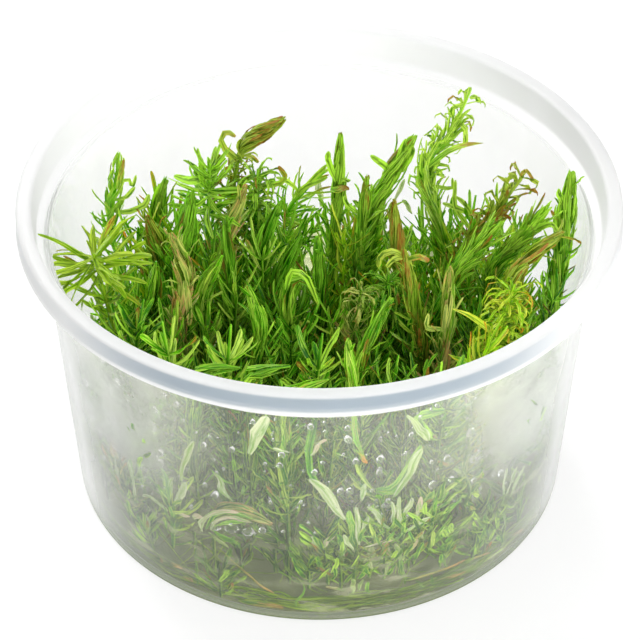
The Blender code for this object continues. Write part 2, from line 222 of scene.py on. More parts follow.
# A habit says how leaves stand on a stem. A band of leaves is: where it starts and ends along the
# stem, number of nodes, leaves at each node, shortest and longest leaf (mm), width (mm), the leaf's
# angle from the stem at its root, middle and tip (degrees), and the blade's shape.
UNDERGROWTH = (0.05, 0.62, 12, 4, 3.5, 7.0, 0.55, (46, 32, 32), "linear")
STRAYS = (0.35, 0.92, 7, 1, 3.0, 6.0, 0.55, (34, 24, 50), "linear")
HABITS = {
    "brush": (UNDERGROWTH, STRAYS, (0.10, 0.88, 19, 4, 7.5, 12.0, 0.72, (8, 2, -1), "linear")),
    "stout": (UNDERGROWTH, STRAYS, (0.08, 0.88, 20, 5, 7.5, 12.0, 0.75, (14, 4, -2), "linear")),
    "broom": (
        UNDERGROWTH, STRAYS,
        (0.08, 0.78, 16, 5, 6.5, 10.0, 0.72, (13, 4, 1), "linear"),
        (0.60, 0.86, 7, 8, 4.5, 7.0, 0.6, (22, 15, 20), "linear"),
    ),
    "bundle": (
        UNDERGROWTH,
        (0.10, 0.92, 18, 5, 5.0, 9.0, 0.72, (16, 5, -2), "linear"),
        (0.45, 0.95, 6, 2, 2.5, 5.0, 0.6, (40, 40, 110), "linear"),
    ),
    "bent": (
        UNDERGROWTH,
        (0.10, 0.93, 18, 5, 6.0, 10.0, 0.72, (14, 5, 3), "linear"),
        (0.55, 0.96, 5, 3, 2.5, 5.0, 0.55, (50, 40, 110), "linear"),
    ),
    "bud": (
        UNDERGROWTH,
        (0.08, 0.50, 13, 4, 6.0, 9.0, 0.7, (10, 3, 0), "linear"),
        (0.60, 0.72, 4, 5, 2.0, 4.0, 0.6, (60, 70, 160), "linear"),
        (0.76, 0.88, 6, 9, 5.5, 8.0, 0.7, (22, 8, -6), "linear"),
    ),
    "curl_top": (
        UNDERGROWTH,
        (0.06, 0.55, 14, 5, 6.0, 9.0, 0.7, (15, 4, 0), "linear"),
        (0.50, 0.84, 12, 4, 3.5, 6.5, 0.8, (20, 16, 60), "linear"),
        (0.58, 0.98, 12, 3, 3.0, 5.0, 0.75, (50, 80, 200), "linear"),
    ),
    "whorl": (
        (0.05, 0.6, 8, 4, 3.0, 6.0, 0.55, (55, 45, 40), "linear"),
        (0.72, 0.86, 4, 7, 6.0, 8.5, 1.0, (80, 70, 78), "linear"),
        (0.86, 0.97, 5, 6, 3.5, 6.0, 0.9, (50, 34, 22), "linear"),
    ),
    "star": (
        (0.08, 0.80, 12, 4, 5.0, 8.0, 0.8, (60, 50, 44), "linear"),
        (0.88, 0.98, 6, 5, 7.5, 11.5, 0.95, (84, 72, 96), "linear"),
    ),
    "curly": (
        UNDERGROWTH,
        (0.2, 0.6, 8, 5, 5.0, 7.0, 0.65, (40, 25, 15), "linear"),
        (0.6, 0.96, 13, 9, 3.5, 6.0, 0.55, (50, 95, 190), "linear"),
    ),
    "tangle": (
        UNDERGROWTH,
        (0.2, 0.7, 8, 4, 5.0, 7.0, 0.65, (40, 25, 15), "linear"),
        (0.85, 1.0, 4, 8, 2.5, 4.5, 0.4, (60, 100, 220), "linear"),
    ),
    "tuft": (
        UNDERGROWTH,
        (0.50, 0.86, 8, 3, 5.5, 8.5, 0.65, (20, 9, 6), "linear"),
        (0.35, 0.6, 4, 2, 4.0, 7.0, 0.55, (55, 45, 0), "linear"),
    ),
    "sprig": (
        UNDERGROWTH,
        (0.35, 0.80, 9, 3, 5.0, 8.0, 0.65, (40, 30, 24), "linear"),
    ),
    "leaf": (UNDERGROWTH, (0.15, 0.72, 10, 4, 8.0, 12.0, 1.0, (11, 3, -3), "pointed")),
    "striped": ((0.05, 0.75, 9, 4, 7.0, 11.0, 0.9, (12, 3, -3), "pointed"),),
    "low": (UNDERGROWTH, (0.35, 0.80, 8, 4, 5.0, 8.0, 1.0, (46, 34, 30), "linear")),
    "fine": (UNDERGROWTH, (0.35, 0.86, 10, 6, 4.5, 7.0, 0.55, (46, 34, 46), "linear")),
    "pressed": ((0.0, 0.95, 7, 3, 4.5, 6.5, 0.9, (50, 40, 36), "oblong"),),
    "filler": ((0.0, 1.0, 11, 5, 4.5, 8.5, 0.62, (40, 26, 24), "linear"),),
}

# Leaf looks: the colours below (linear RGB), and the share of leaves that are dry
LEAF_COLOURS = ("Deep", "Middle", "Tip", "Dry")
LOOKS = {
    "green": ((0.016, 0.16, 0.001), (0.125, 0.55, 0.003), (0.66, 0.97, 0.10), (0.46, 0.22, 0.03),
     0.08),
    "dark": ((0.008, 0.095, 0.001), (0.068, 0.40, 0.002), (0.44, 0.86, 0.06), (0.34, 0.16, 0.03),
     0.10),
    "bright": ((0.045, 0.28, 0.002), (0.28, 0.77, 0.005), (0.80, 1.00, 0.16), (0.56, 0.32, 0.05),
     0.06),
    "yellow": ((0.14, 0.40, 0.003), (0.44, 0.84, 0.008), (0.88, 0.94, 0.09), (0.86, 0.44, 0.03),
     0.16),
    "olive": ((0.10, 0.26, 0.003), (0.33, 0.60, 0.008), (0.66, 0.84, 0.07), (0.46, 0.18, 0.02),
     0.18),
    "brown": ((0.05, 0.19, 0.003), (0.20, 0.48, 0.008), (0.66, 0.78, 0.10), (0.56, 0.25, 0.04),
     0.42),
    "tan": ((0.06, 0.25, 0.004), (0.30, 0.60, 0.02), (0.86, 0.90, 0.24), (0.80, 0.52, 0.20), 0.42),
    "pale": ((0.30, 0.55, 0.10), (0.70, 0.82, 0.40), (0.93, 0.95, 0.70), (0.86, 0.72, 0.52), 0.18),
}

# Every shoot: node, habit, look, foot (x, y), then its stem's points above the gel to its tip (mm)
SHOOTS = (
    ("tuft_shoot", "tuft", "bright", (-34, 18), (-36, 18, 34), (-35.5, 18, 43), (-34, 17, 53)),
    ("curved_leaf_shoot", "leaf", "green", (-27, 22), (-28.5, 20, 34), (-28, 19.5, 40),
     (-26.5, 19, 46)),
    ("back_whorl_shoot", "whorl", "green", (-20, 14), (-19.5, 13, 35), (-18.5, 14, 53)),
    ("twin_head_shoot", "bud", "brown", (-15, 21), (-15, 19, 40), (-13, 18, 53), (-6, 16, 61)),
    ("round_head_shoot", "curly", "green", (-10, 17), (-11, 16, 40), (-10.5, 15, 51)),
    ("back_sprig_shoot", "sprig", "bright", (-7, 25), (-6, 23, 34), (-2.5, 22, 41), (1, 21, 46)),
    ("tall_spindle_shoot", "brush", "green", (1, 13), (2.5, 13, 35), (3.5, 14, 59)),
    ("short_spindle_shoot", "brush", "green", (7, 7), (6.5, 8, 36), (8, 8, 54.5)),
    ("leaning_shoot", "stout", "green", (7, 14), (9, 13, 42), (12, 14, 50), (16, 15, 58)),
    ("tallest_shoot", "curl_top", "bright", (23, 13), (21, 15, 36), (18.5, 21, 46), (23, 25, 52),
     (26, 27, 59)),
    ("right_sprig_shoot", "sprig", "bright", (27, 16), (26, 16, 34), (27, 18, 43)),
    ("twisted_shoot", "curl_top", "brown", (22, 3), (24, 3, 40), (29, 6, 47), (34.5, 9, 55)),
    ("brush_head_shoot", "broom", "green", (28, -2), (29, -1, 40), (33, 0, 47), (38, 1, 54)),
    ("brown_bundle_shoot", "bundle", "brown", (30, -11), (31.5, -9, 44), (35, -6, 49),
     (40, -4, 52.5)),
    ("wall_spindle_shoot", "stout", "green", (37.5, 3), (40, 3, 32), (41, 4, 45), (42, 6, 57)),
    ("middle_brush_shoot", "broom", "green", (20, -5), (22, -4, 41), (26, -2, 47), (30, 0, 51.5)),
    ("brown_tip_shoot", "brush", "brown", (14.5, 4), (13.5, 4, 38), (12.5, 6, 51)),
    ("curled_head_shoot", "brush", "brown", (18, -14), (17.5, -14, 33), (15, -14, 48),
     (13.5, -14, 57)),
    ("tan_spindle_shoot", "brush", "tan", (20, -20), (20.5, -19, 36), (21, -18, 56)),
    ("green_spindle_shoot", "brush", "green", (4, -24), (6.5, -24, 41), (11.5, -21, 52.5)),
    ("front_spindle_shoot", "brush", "bright", (6, -32), (5.5, -32, 40), (4.5, -32, 53)),
    ("bushy_shoot", "curly", "yellow", (27, -21), (29, -20, 42), (31.5, -18, 53)),
    ("yellow_whorl_shoot", "fine", "yellow", (24, -26.5), (25.5, -27.5, 42), (30, -26, 51)),
    ("centre_spindle_shoot", "brush", "dark", (0.5, 1), (0.5, 1, 34), (-0.5, 1, 47)),
    ("arch_shoot", "leaf", "green", (-5, -9), (-5.5, -8, 38), (-4, -8, 46), (-1, -9, 45)),
    ("dark_leaf_shoot", "leaf", "dark", (-6.5, 2), (-7, 3, 35), (-3, 4.5, 45)),
    ("dark_spindle_shoot", "brush", "dark", (-11, 8), (-10.5, 8, 37), (-6.5, 9, 48.5)),
    ("dark_tall_shoot", "brush", "dark", (-15, 0), (-15, 0, 36), (-15.5, 1, 51.5)),
    ("streaked_shoot", "brush", "tan", (-17, 7), (-16.5, 8, 38), (-12.5, 10, 51)),
    ("left_dark_shoot", "stout", "dark", (-23, 3), (-23, 4, 38), (-21.5, 4, 54.5)),
    ("withered_shoot", "bent", "tan", (-23.5, -10), (-23.5, -10, 38), (-22, -9, 47), (-24, -9, 56)),
    ("bright_leaf_shoot", "leaf", "bright", (-19, -5), (-20, -5, 38), (-16, -7, 50)),
    ("slim_shoot", "brush", "green", (-10, -21), (-10, -21, 38), (-9.5, -21.5, 47),
     (-11.5, -21, 55)),
    ("front_whorl_shoot", "low", "bright", (-15, -27), (-15, -27, 38), (-14, -28, 53)),
    ("left_front_shoot", "low", "bright", (-24, -24), (-24, -25, 38), (-25, -26, 52)),
    ("lying_left_shoot", "leaf", "green", (-20, -31), (-20, -31, 42), (-17, -31.5, 46.5),
     (-12.5, -32, 47.5)),
    ("lying_middle_shoot", "leaf", "green", (-11, -33), (-11.5, -33, 44), (-9, -33.5, 48),
     (-4.5, -34, 49.5)),
    ("lying_right_shoot", "leaf", "bright", (-5, -37), (-5.5, -37, 43), (-3, -37.5, 47.5),
     (1.5, -37, 49.5)),
    ("star_shoot", "star", "olive", (-34, -5), (-35, -7, 36), (-37, -9, 52)),
    ("left_whorl_shoot", "low", "green", (-30, -16), (-30, -17, 38), (-28.5, -17, 49)),
    ("left_round_shoot", "leaf", "green", (-28, -3), (-28, -4, 36), (-27, -6, 48)),
    ("right_low_shoot", "low", "green", (18, -34), (20, -34.5, 42), (23, -33.5, 50)),
    ("pale_curl_shoot", "tangle", "tan", (6, -7), (6, -7, 34), (7, -8, 43.5)),
    ("green_curl_shoot", "curly", "green", (12, -5), (11.5, -5, 34), (11.5, -5, 44)),
    ("middle_front_shoot", "low", "green", (-2, -28), (-0.5, -28.5, 40), (0.5, -29, 52)),
    ("back_left_shoot", "bent", "brown", (-27, 9), (-27.5, 8, 36), (-29, 8, 46)),
    ("fan_shoot", "sprig", "bright", (-24, 12), (-24, 12, 34), (-25, 13, 46)),
    ("right_plantlet", "pressed", "green", (32, -22), (34, -23.5, 26), (34.5, -24, 33)),
    ("front_right_plantlet", "pressed", "bright", (24, -31), (24.5, -32.5, 22), (23, -34.5, 28)),
    ("front_plantlet", "pressed", "bright", (11, -36.5), (10, -38.5, 23), (9, -39, 28)),
    ("left_plantlet", "pressed", "green", (-27, -27), (-28, -30, 27), (-28, -31, 34)),
    ("bent_plantlet", "striped", "tan", (-17, -35.5), (-16, -37, 21), (-12.5, -39, 23),
     (-8, -40, 21)),
)

# Leaves that stand out in the photograph, by node: width (mm), blade shape, tint, dryness, then the
# leaf's points (mm)
EXTRA_LEAVES = {
    "leaning_shoot": (
        (1.1, "linear", 0.95, 0.0, (12.7, 14, 50.3), (10.9, 14, 52.5), (8.7, 14, 54.8)),
        (1.2, "linear", 0.9, 0.1, (14, 14, 51.2), (15.3, 14, 54.8), (15.9, 14, 56.7)),
        (1.3, "linear", 0.9, 0.0, (13, 14, 51.6), (13.9, 14, 55.5), (14.6, 14, 58.2)),
    ),
    "tallest_shoot": (
        (1.1, "pointed", 0.2, 0.75, (18.1, 21, 46.2), (21.9, 21.5, 49.7), (25.2, 22, 50.8),
         (28.2, 22, 51)),
        (0.9, "linear", 0.9, 0.1, (24.7, 26, 56.5), (23.1, 26, 55.8), (22.8, 26, 54.1)),
        (0.9, "linear", 0.9, 0.4, (25.9, 27, 57.2), (26.9, 27, 57.4), (27.5, 27, 56.2)),
        (0.9, "linear", 0.8, 0.2, (24.4, 25.5, 53.4), (25.3, 25, 50.8), (24.7, 25, 48)),
        (0.8, "linear", 0.7, 0.3, (18.3, 19, 44), (20.2, 20, 43.3), (23, 20, 42.9),
         (23.2, 20, 45.3)),
    ),
    "twin_head_shoot": (
        (1.1, "linear", 0.5, 0.7, (-13.2, 18, 50.1), (-15.2, 18, 51.6), (-16.7, 18, 54.6),
         (-15.8, 18, 56.6), (-14.3, 18, 55.6)),
        (1.0, "linear", 0.9, 0.0, (-13.1, 18, 51.1), (-13.6, 18, 53.5), (-13.4, 18, 55.2)),
        (0.8, "linear", 0.9, 0.8, (-12.8, 17.6, 52), (-11.5, 17.4, 51.8), (-10.6, 17.4, 50.4)),
    ),
    "right_sprig_shoot": (
        (0.95, "linear", 0.95, 0.0, (26.3, 16.5, 36.5), (23.5, 16, 42), (23.2, 16, 47.9)),
        (0.9, "linear", 0.95, 0.1, (26.5, 17, 38.5), (25.5, 16, 42), (23.6, 16, 44.5)),
        (0.9, "linear", 0.95, 0.0, (26.6, 17.3, 39), (23.8, 16, 41.8), (21.2, 16, 42.8)),
        (0.9, "linear", 0.85, 0.1, (26.6, 17.3, 39.5), (27.5, 16.5, 40), (29.2, 16, 41.2)),
    ),
    "tuft_shoot": (
        (1.1, "linear", 0.8, 0.0, (-35.5, 18, 39.5), (-33, 17, 40.2), (-30.5, 17, 41.5),
         (-29.3, 17, 44)),
        (0.7, "linear", 0.9, 0.1, (-35.5, 18, 41.9), (-33.3, 17, 43.5), (-31.7, 17, 45.6)),
        (0.7, "linear", 0.9, 0.0, (-35, 17.5, 46), (-32.7, 17, 47.2), (-32.2, 17, 45.8),
         (-31.6, 17, 48.2)),
        (0.9, "linear", 0.5, 0.9, (-34.7, 16.6, 45.5), (-34, 16, 49), (-33.2, 15.8, 52.4)),
    ),
    "curved_leaf_shoot": (
        (1.4, "linear", 0.8, 0.1, (-28.8, 19.5, 36), (-28.2, 19, 41.9), (-26.3, 19, 45.8)),
    ),
    "back_whorl_shoot": (
        (1.5, "linear", 0.6, 0.3, (-18.7, 14, 50.2), (-22, 13.5, 49.7), (-24.6, 13.5, 51)),
    ),
    "round_head_shoot": (
        (1.0, "linear", 0.4, 0.9, (-10, 15, 47), (-6.7, 15, 48.1), (-5.9, 15, 49.6),
         (-7.1, 15, 51.5)),
    ),
    "back_sprig_shoot": (
        (0.9, "linear", 0.95, 0.0, (-4.5, 22.5, 38), (-1.3, 21, 44.1), (1.3, 21, 47.3)),
        (0.9, "linear", 0.95, 0.0, (-4, 22.5, 39.5), (-2.5, 21, 42.5), (1.3, 21, 44.9)),
        (0.8, "linear", 0.95, 0.0, (-3.4, 22.2, 40.2), (-5.2, 21, 43.4), (-7.5, 21, 44.6)),
    ),
    "tall_spindle_shoot": (
        (1.2, "linear", 0.95, 0.0, (2.8, 13, 50), (1.6, 12.6, 54), (1.3, 12.6, 56.6)),
        (0.7, "linear", 0.9, 0.0, (3.2, 13, 50), (4.4, 12.6, 50.6), (5.2, 12.6, 50.2)),
        (1.1, "linear", 0.2, 0.9, (1.9, 12.4, 48.6), (3.4, 12, 49), (5, 12.4, 49.2)),
    ),
    "short_spindle_shoot": (
        (0.9, "linear", 0.9, 0.0, (6.6, 8, 47), (5, 8, 48.6), (4, 8, 50.6)),
    ),
    "twisted_shoot": (
        (0.8, "linear", 0.5, 0.9, (33.6, 9, 53.4), (34.6, 9, 55.2), (36, 9, 53.4)),
        (0.8, "linear", 0.7, 0.6, (33.4, 9, 53), (32.2, 9, 54.2), (31.4, 9, 52.6)),
    ),
    "wall_spindle_shoot": (
        (1.1, "linear", 0.9, 0.1, (41.2, 5, 50.7), (40.2, 4.6, 52.9), (39.6, 4.6, 54.8)),
        (0.8, "linear", 0.7, 0.9, (41, 5, 48.4), (39.6, 4.4, 49), (38.6, 4.2, 50.4)),
    ),
    "brush_head_shoot": (
        (1.1, "linear", 0.95, 0.2, (35, 0.5, 49.5), (36.7, 0, 52.4), (37.6, 0, 54.8)),
        (1.1, "linear", 0.95, 0.5, (35.6, 0, 49.6), (38.4, -0.4, 51.4), (39.8, -0.4, 49.8)),
    ),
    "arch_shoot": (
        (1.1, "linear", 1.0, 0.6, (-5.5, -8.6, 44), (-4.6, -9.4, 48.6), (-2.2, -9.8, 47.8),
         (-0.4, -9.6, 41.6)),
    ),
    "bushy_shoot": (
        (1.2, "pointed", 1.0, 0.6, (28.4, -20.4, 44.6), (26.6, -22, 47.6), (24, -22.6, 50.4),
         (21.2, -22.6, 51.8)),
        (1.0, "pointed", 1.0, 0.5, (30, -20, 42.5), (30.8, -20.4, 45), (31.8, -21, 47)),
    ),
    "yellow_whorl_shoot": (
        (1.2, "pointed", 0.9, 0.7, (25.6, -27.4, 42.4), (23.4, -28, 45.2), (20.6, -28, 46.6)),
    ),
    "curled_head_shoot": (
        (1.1, "linear", 0.9, 0.3, (13.7, -14, 55.6), (11.8, -14.6, 57.2), (9.8, -14.6, 56),
         (9.4, -14.6, 53.8)),
        (1.0, "linear", 1.0, 0.2, (13.8, -14, 55.4), (12.2, -14.8, 55.8), (10.8, -15, 54.2)),
        (1.0, "linear", 0.6, 0.9, (14, -14, 54.8), (16, -14.6, 56), (17.8, -14.6, 55.4)),
    ),
    "withered_shoot": (
        (1.1, "linear", 0.8, 1.0, (-22.2, -9.8, 47), (-22.4, -10.8, 43), (-23.8, -11, 38.8)),
        (1.1, "linear", 1.0, 0.8, (-22.2, -9.8, 46.6), (-21.6, -10.8, 42.6), (-21.8, -11, 38.4)),
    ),
    "tan_spindle_shoot": (
        (0.9, "linear", 1.0, 0.2, (20.4, -18.6, 44), (17.6, -19.4, 45), (17.8, -19.6, 48.2)),
    ),
    "middle_front_shoot": (
        (1.3, "pointed", 0.8, 0.2, (-0.5, -29, 36), (-1.6, -41.6, 35), (4, -41.8, 24.2)),
    ),
    "front_plantlet": (
        (1.6, "linear", 0.9, 0.0, (9.1, -39, 27.4), (12.3, -40.6, 30), (16.1, -40.4, 38.6)),
    ),
    "right_low_shoot": (
        (1.6, "linear", 1.0, 0.1, (19.9, -34.7, 41), (15.4, -40.4, 44.6), (17.5, -39.8, 39.4)),
    ),
    "front_spindle_shoot": (
        (1.0, "pointed", 0.7, 0.8, (5.5, -32.4, 41), (5.6, -41.8, 41.6), (7.4, -42.4, 36.8)),
    ),
}

# Young shoots just behind the wall: look, then turn (degrees) and height (mm) of foot and tip.
WALL_SPRIGS = (
    ("green", 272, 9, 271, 19), ("green", 275, 8, 274.5, 18), ("bright", 278, 9, 278.5, 19),
    ("bright", 281.5, 10, 282.5, 21), ("green", 285, 9, 285, 20.5),
    ("bright", 288.5, 11, 289.5, 22), ("green", 292, 11, 294, 22.5), ("bright", 295.5, 13, 297, 24),
    ("green", 299, 8, 301, 15.5), ("green", 308.5, 6, 309.5, 15), ("green", 312, 5, 313.5, 14),
    ("green", 318.5, 4, 311.3, 14), ("bright", 234.1, 10, 235.5, 21), ("green", 227.5, 6, 225, 11),
    ("tan", 220.5, 12, 218, 22), ("green", 222.5, 8, 219.5, 17), ("green", 246.3, 2, 246.3, 7),
    ("green", 267.6, 8, 267.6, 13),
)

# Leaves that lie flat on the wall. They were marked on two enlarged parts of the
# photograph, given by their left and top edge and their scale (pixels). A row is: tone, width (mm),
# then marks (pixels).
LEFT_CLOSE_UP = (70, 400, 6.03)
RIGHT_CLOSE_UP = (310, 400, 5.81)
WALL_LEAVES = (
    (RIGHT_CLOSE_UP, (
        ("bright", 1.2, (265, 840), (215, 650)), ("pale", 0.9, (285, 840), (275, 620)),
        ("pale", 0.8, (300, 770), (340, 680)), ("pale", 0.9, (460, 755), (335, 625)),
        ("bright", 0.9, (440, 690), (345, 620)), ("pale", 0.8, (490, 730), (465, 590)),
        ("pale", 0.8, (500, 730), (525, 560)), ("pale", 1.0, (510, 720), (600, 570)),
        ("dry", 1.0, (620, 700), (640, 560)), ("pale", 0.8, (530, 775), (690, 680)),
        ("bright", 0.9, (690, 730), (765, 500)), ("bright", 0.9, (760, 600), (825, 540)),
        ("bright", 1.4, (660, 600), (730, 540)), ("bright", 0.6, (400, 805), (280, 800)),
        ("dry", 0.6, (330, 855), (470, 815)), ("dry", 0.9, (490, 920), (430, 840)),
        ("pale", 1.0, (525, 925), (495, 830)), ("dry", 0.8, (540, 920), (630, 805)),
        ("pale", 1.2, (370, 920), (365, 855)), ("pale", 1.0, (190, 940), (195, 840)),
        ("pale", 0.8, (250, 880), (195, 780)), ("dry", 1.0, (75, 860), (130, 790)),
        ("pale", 0.8, (60, 880), (0, 790)), ("pale", 0.8, (355, 985), (320, 925)),
        ("bright", 1.7, (720, 830), (835, 735)), ("green", 1.1, (750, 870), (870, 765)),
        ("pale", 0.7, (640, 765), (668, 800)), ("green", 0.7, (800, 975), (765, 895)),
        ("pale", 0.7, (445, 1010), (465, 930)), ("pale", 0.9, (250, 1120), (250, 1035)),
        ("pale", 0.7, (285, 1110), (305, 1040)), ("dry", 0.6, (210, 1110), (100, 1080)),
        ("bright", 0.8, (345, 1130), (340, 1060)), ("green", 0.9, (560, 1070), (520, 930)),
        ("green", 0.8, (730, 870), (900, 850)), ("pale", 1.9, (190, 700), (120, 570), (10, 460)),
        ("pale", 1.5, (480, 560), (570, 430), (640, 280)),
        ("pale", 1.5, (560, 90), (638, 166), (690, 235)), ("orange", 0.7, (265, 285), (325, 370)),
        ("pale", 1.0, (300, 590), (325, 490)),
    )),
    (LEFT_CLOSE_UP, (
        ("bright", 1.5, (600, 630), (585, 527), (545, 410)), ("pale", 0.8, (605, 560), (620, 465)),
        ("pale", 1.3, (635, 640), (690, 495)), ("green", 0.8, (585, 595), (460, 470)),
        ("pale", 0.9, (600, 670), (525, 605)), ("pale", 0.6, (550, 640), (490, 586), (430, 570)),
        ("pale", 0.7, (475, 800), (470, 690)), ("pale", 0.7, (465, 810), (410, 710)),
        ("pale", 1.6, (380, 690), (345, 620)), ("pale", 0.9, (270, 480), (240, 330)),
        ("pale", 0.9, (310, 540), (270, 330)), ("bright", 0.9, (360, 530), (345, 345)),
        ("pale", 0.9, (395, 600), (365, 370)), ("bright", 0.9, (430, 530), (410, 370)),
        ("green", 1.2, (610, 850), (605, 640)),
        ("pale", 2.1, (1080, 330), (1122, 215), (1180, 100)),
        ("pale", 1.1, (670, 480), (688, 354), (740, 240)),
        ("pale", 1.3, (980, 610), (917, 531), (885, 440)), ("pale", 0.6, (1330, 320), (1210, 290)),
        ("dry", 0.9, (1450, 340), (1540, 240)),
        ("dry", 0.8, (790, 790), (825, 705), (920, 665), (1010, 668)),
        ("green", 0.9, (815, 785), (850, 712), (950, 685), (1105, 735)),
        ("dry", 0.7, (835, 780), (880, 728), (980, 708), (1088, 745)),
        ("bright", 0.7, (845, 780), (930, 750), (1045, 750)),
        ("pale", 0.6, (800, 790), (800, 720), (960, 662)),
        ("bright", 0.9, (850, 790), (930, 840), (1018, 874)),
        ("pale", 0.8, (840, 800), (900, 852), (960, 888)), ("dry", 1.0, (740, 720), (790, 700)),
        ("dry", 0.7, (640, 675), (730, 700)),
    )),
    (RIGHT_CLOSE_UP, (
        ("pale", 0.9, (1140, 580), (1240, 380)), ("pale", 0.9, (1130, 560), (1200, 380)),
        ("pale", 0.8, (1120, 590), (1150, 390)),
        ("green", 1.0, (1060, 860), (1020, 740), (960, 660)),
        ("pale", 0.5, (1080, 600), (1130, 700), (1020, 860)),
        ("green", 0.9, (940, 880), (1030, 760)),
    )),
    # The pale yellow rows here and in the next two groups are painted light: bright streaks along the
    # base, laid on the wall as flat strips
    (LEFT_CLOSE_UP, (
        ("cream_painted_light", 1.1, (510, 935), (560, 970)), ("cream_painted_light", 0.9, (590, 970), (690, 1015)),
        ("cream_painted_light", 0.8, (680, 1060), (750, 1088)), ("cream_painted_light", 1.1, (1020, 1210), (1300, 1250)),
    )),
    (RIGHT_CLOSE_UP, (
        ("cream_painted_light", 0.7, (560, 1050), (900, 930)), ("cream_painted_light", 0.6, (900, 930), (1040, 880)),
        ("cream_painted_light", 0.7, (700, 1060), (900, 990)), ("cream_painted_light", 0.8, (1130, 800), (1230, 750)),
    )),
    (LEFT_CLOSE_UP, (
        ("cream_painted_light", 0.5, (900, 890), (1080, 1060), (1220, 1165)),
        ("green", 0.5, (755, 830), (760, 950), (765, 1120)),
        ("green", 0.5, (790, 830), (815, 950), (830, 1080)),
        ("bright", 0.4, (1410, 1110), (1390, 1200), (1350, 1255)),
        ("bright", 0.4, (1180, 1205), (1150, 1245)),
    )),
    (RIGHT_CLOSE_UP, (
        ("green", 0.5, (620, 1050), (680, 1110)), ("green", 0.5, (700, 1010), (715, 1110)),
        ("bright", 0.5, (180, 1230), (330, 1190), (460, 1160), (560, 1090)),
    )),
)
# The pale yellow tone is painted light, not a leaf colour
WALL_TONES = {
    "pale": ("pale", 0.1), "dry": ("pale", 1.0), "cream_painted_light": ("tan", 1.0),
    "bright": ("bright", 0.0), "green": ("green", 0.0), "orange": ("yellow", 1.0),
}


def inner_radius(height):
    """The cup's inner radius at a height, for one height or an array of them."""
    low = FLOOR_THICKNESS + BASE_CORNER
    share = (height - low) / (LEDGE_HEIGHT - low)
    wall = WALL_BOTTOM_RADIUS + (WALL_TOP_RADIUS - WALL_BOTTOM_RADIUS) * share - WALL_THICKNESS
    return np.where(height > LEDGE_HEIGHT + LEDGE_RISE, LEDGE_RADIUS, wall)


def wall_spot(close_up, mark):
    """The place on the inner wall that a mark in a close-up shows: turn (degrees), height (mm)."""
    left, top, scale = close_up
    focal = CAMERA_LENS / SENSOR_WIDTH * PHOTO_WIDTH
    across = (left + mark[0] / scale - PHOTO_WIDTH / 2) / focal
    below = (top + mark[1] / scale - PHOTO_WIDTH / 2) / focal
    cosine, sine = math.cos(CAMERA_DOWN), math.sin(CAMERA_DOWN)
    aim = np.array([across, cosine - sine * below, -sine - cosine * below])
    reach = np.linspace(RAY_NEAR, RAY_FAR, RAY_STEPS + 1)[:, None]
    places = np.array(CAMERA_PLACE) + reach * aim
    inside = np.hypot(places[:, 0], places[:, 1]) < inner_radius(places[:, 2])
    x, y, height = places[np.argmax(inside & (places[:, 2] < LEDGE_HEIGHT))]
    return math.degrees(math.atan2(y, x)) % 360, height / MM


def smooth_point(points, place):
    """A point of the smooth curve through all points; place runs from 0 to 1."""
    spans = len(points) - 1
    index = min(int(place * spans), spans - 1)
    t = place * spans - index
    a, b = points[index], points[index + 1]
    before = points[index - 1] if index else a - (b - a)
    after = points[index + 2] if index + 2 <= spans else b + (b - a)
    bend = 2 * before - 5 * a + 4 * b - after
    twist = 3 * a - before - 3 * b + after
    return 0.5 * (2 * a + (b - before) * t + bend * t * t + twist * t * t * t)


def unit(vectors):
    return vectors / np.maximum(np.linalg.norm(vectors, axis=-1, keepdims=True), 1e-9)


def new_object(name, data):
    """An object in the scene with the given data."""
    obj = bpy.data.objects.new(name, data)
    bpy.context.scene.collection.objects.link(obj)
    return obj


def mesh_from(bm, name):
    mesh = bpy.data.meshes.new(name)
    bm.to_mesh(mesh)
    bm.free()
    return mesh


class Stem:
    """A stem's line with an even frame along it, which leaves are placed by."""

    SAMPLES = 48

    def __init__(self, points):
        places = np.linspace(0, 1, self.SAMPLES)
        self.points = np.array([smooth_point(points, place) for place in places])
        steps = np.linalg.norm(np.diff(self.points, axis=0), axis=1)
        self.reached = np.concatenate([[0.0], np.cumsum(steps)])
        self.length = self.reached[-1]
        self.along = unit(np.gradient(self.points, axis=0))
        self.side = self._even_sides()
        self.front = np.cross(self.along, self.side)

    def _even_sides(self):
        side = np.cross(self.along[0], (0.0, 1.0, 0.0))
        sides = []
        for along in self.along:
            side = side - along * side.dot(along)
            side = side / np.linalg.norm(side)
            sides.append(side)
        return np.array(sides)

    def at(self, distance):
        """Points, directions, sides and fronts along the stem, straight on past its tip."""
        distance = np.asarray(distance)
        inside = np.clip(distance, 0, self.length)
        read = [
            np.stack([np.interp(inside, self.reached, values[:, i]) for i in range(3)], -1)
            for values in (self.points, self.along, self.side, self.front)
        ]
        past = (distance - inside)[:, None]
        return read[0] + read[1] * past, unit(read[1]), unit(read[2]), unit(read[3])


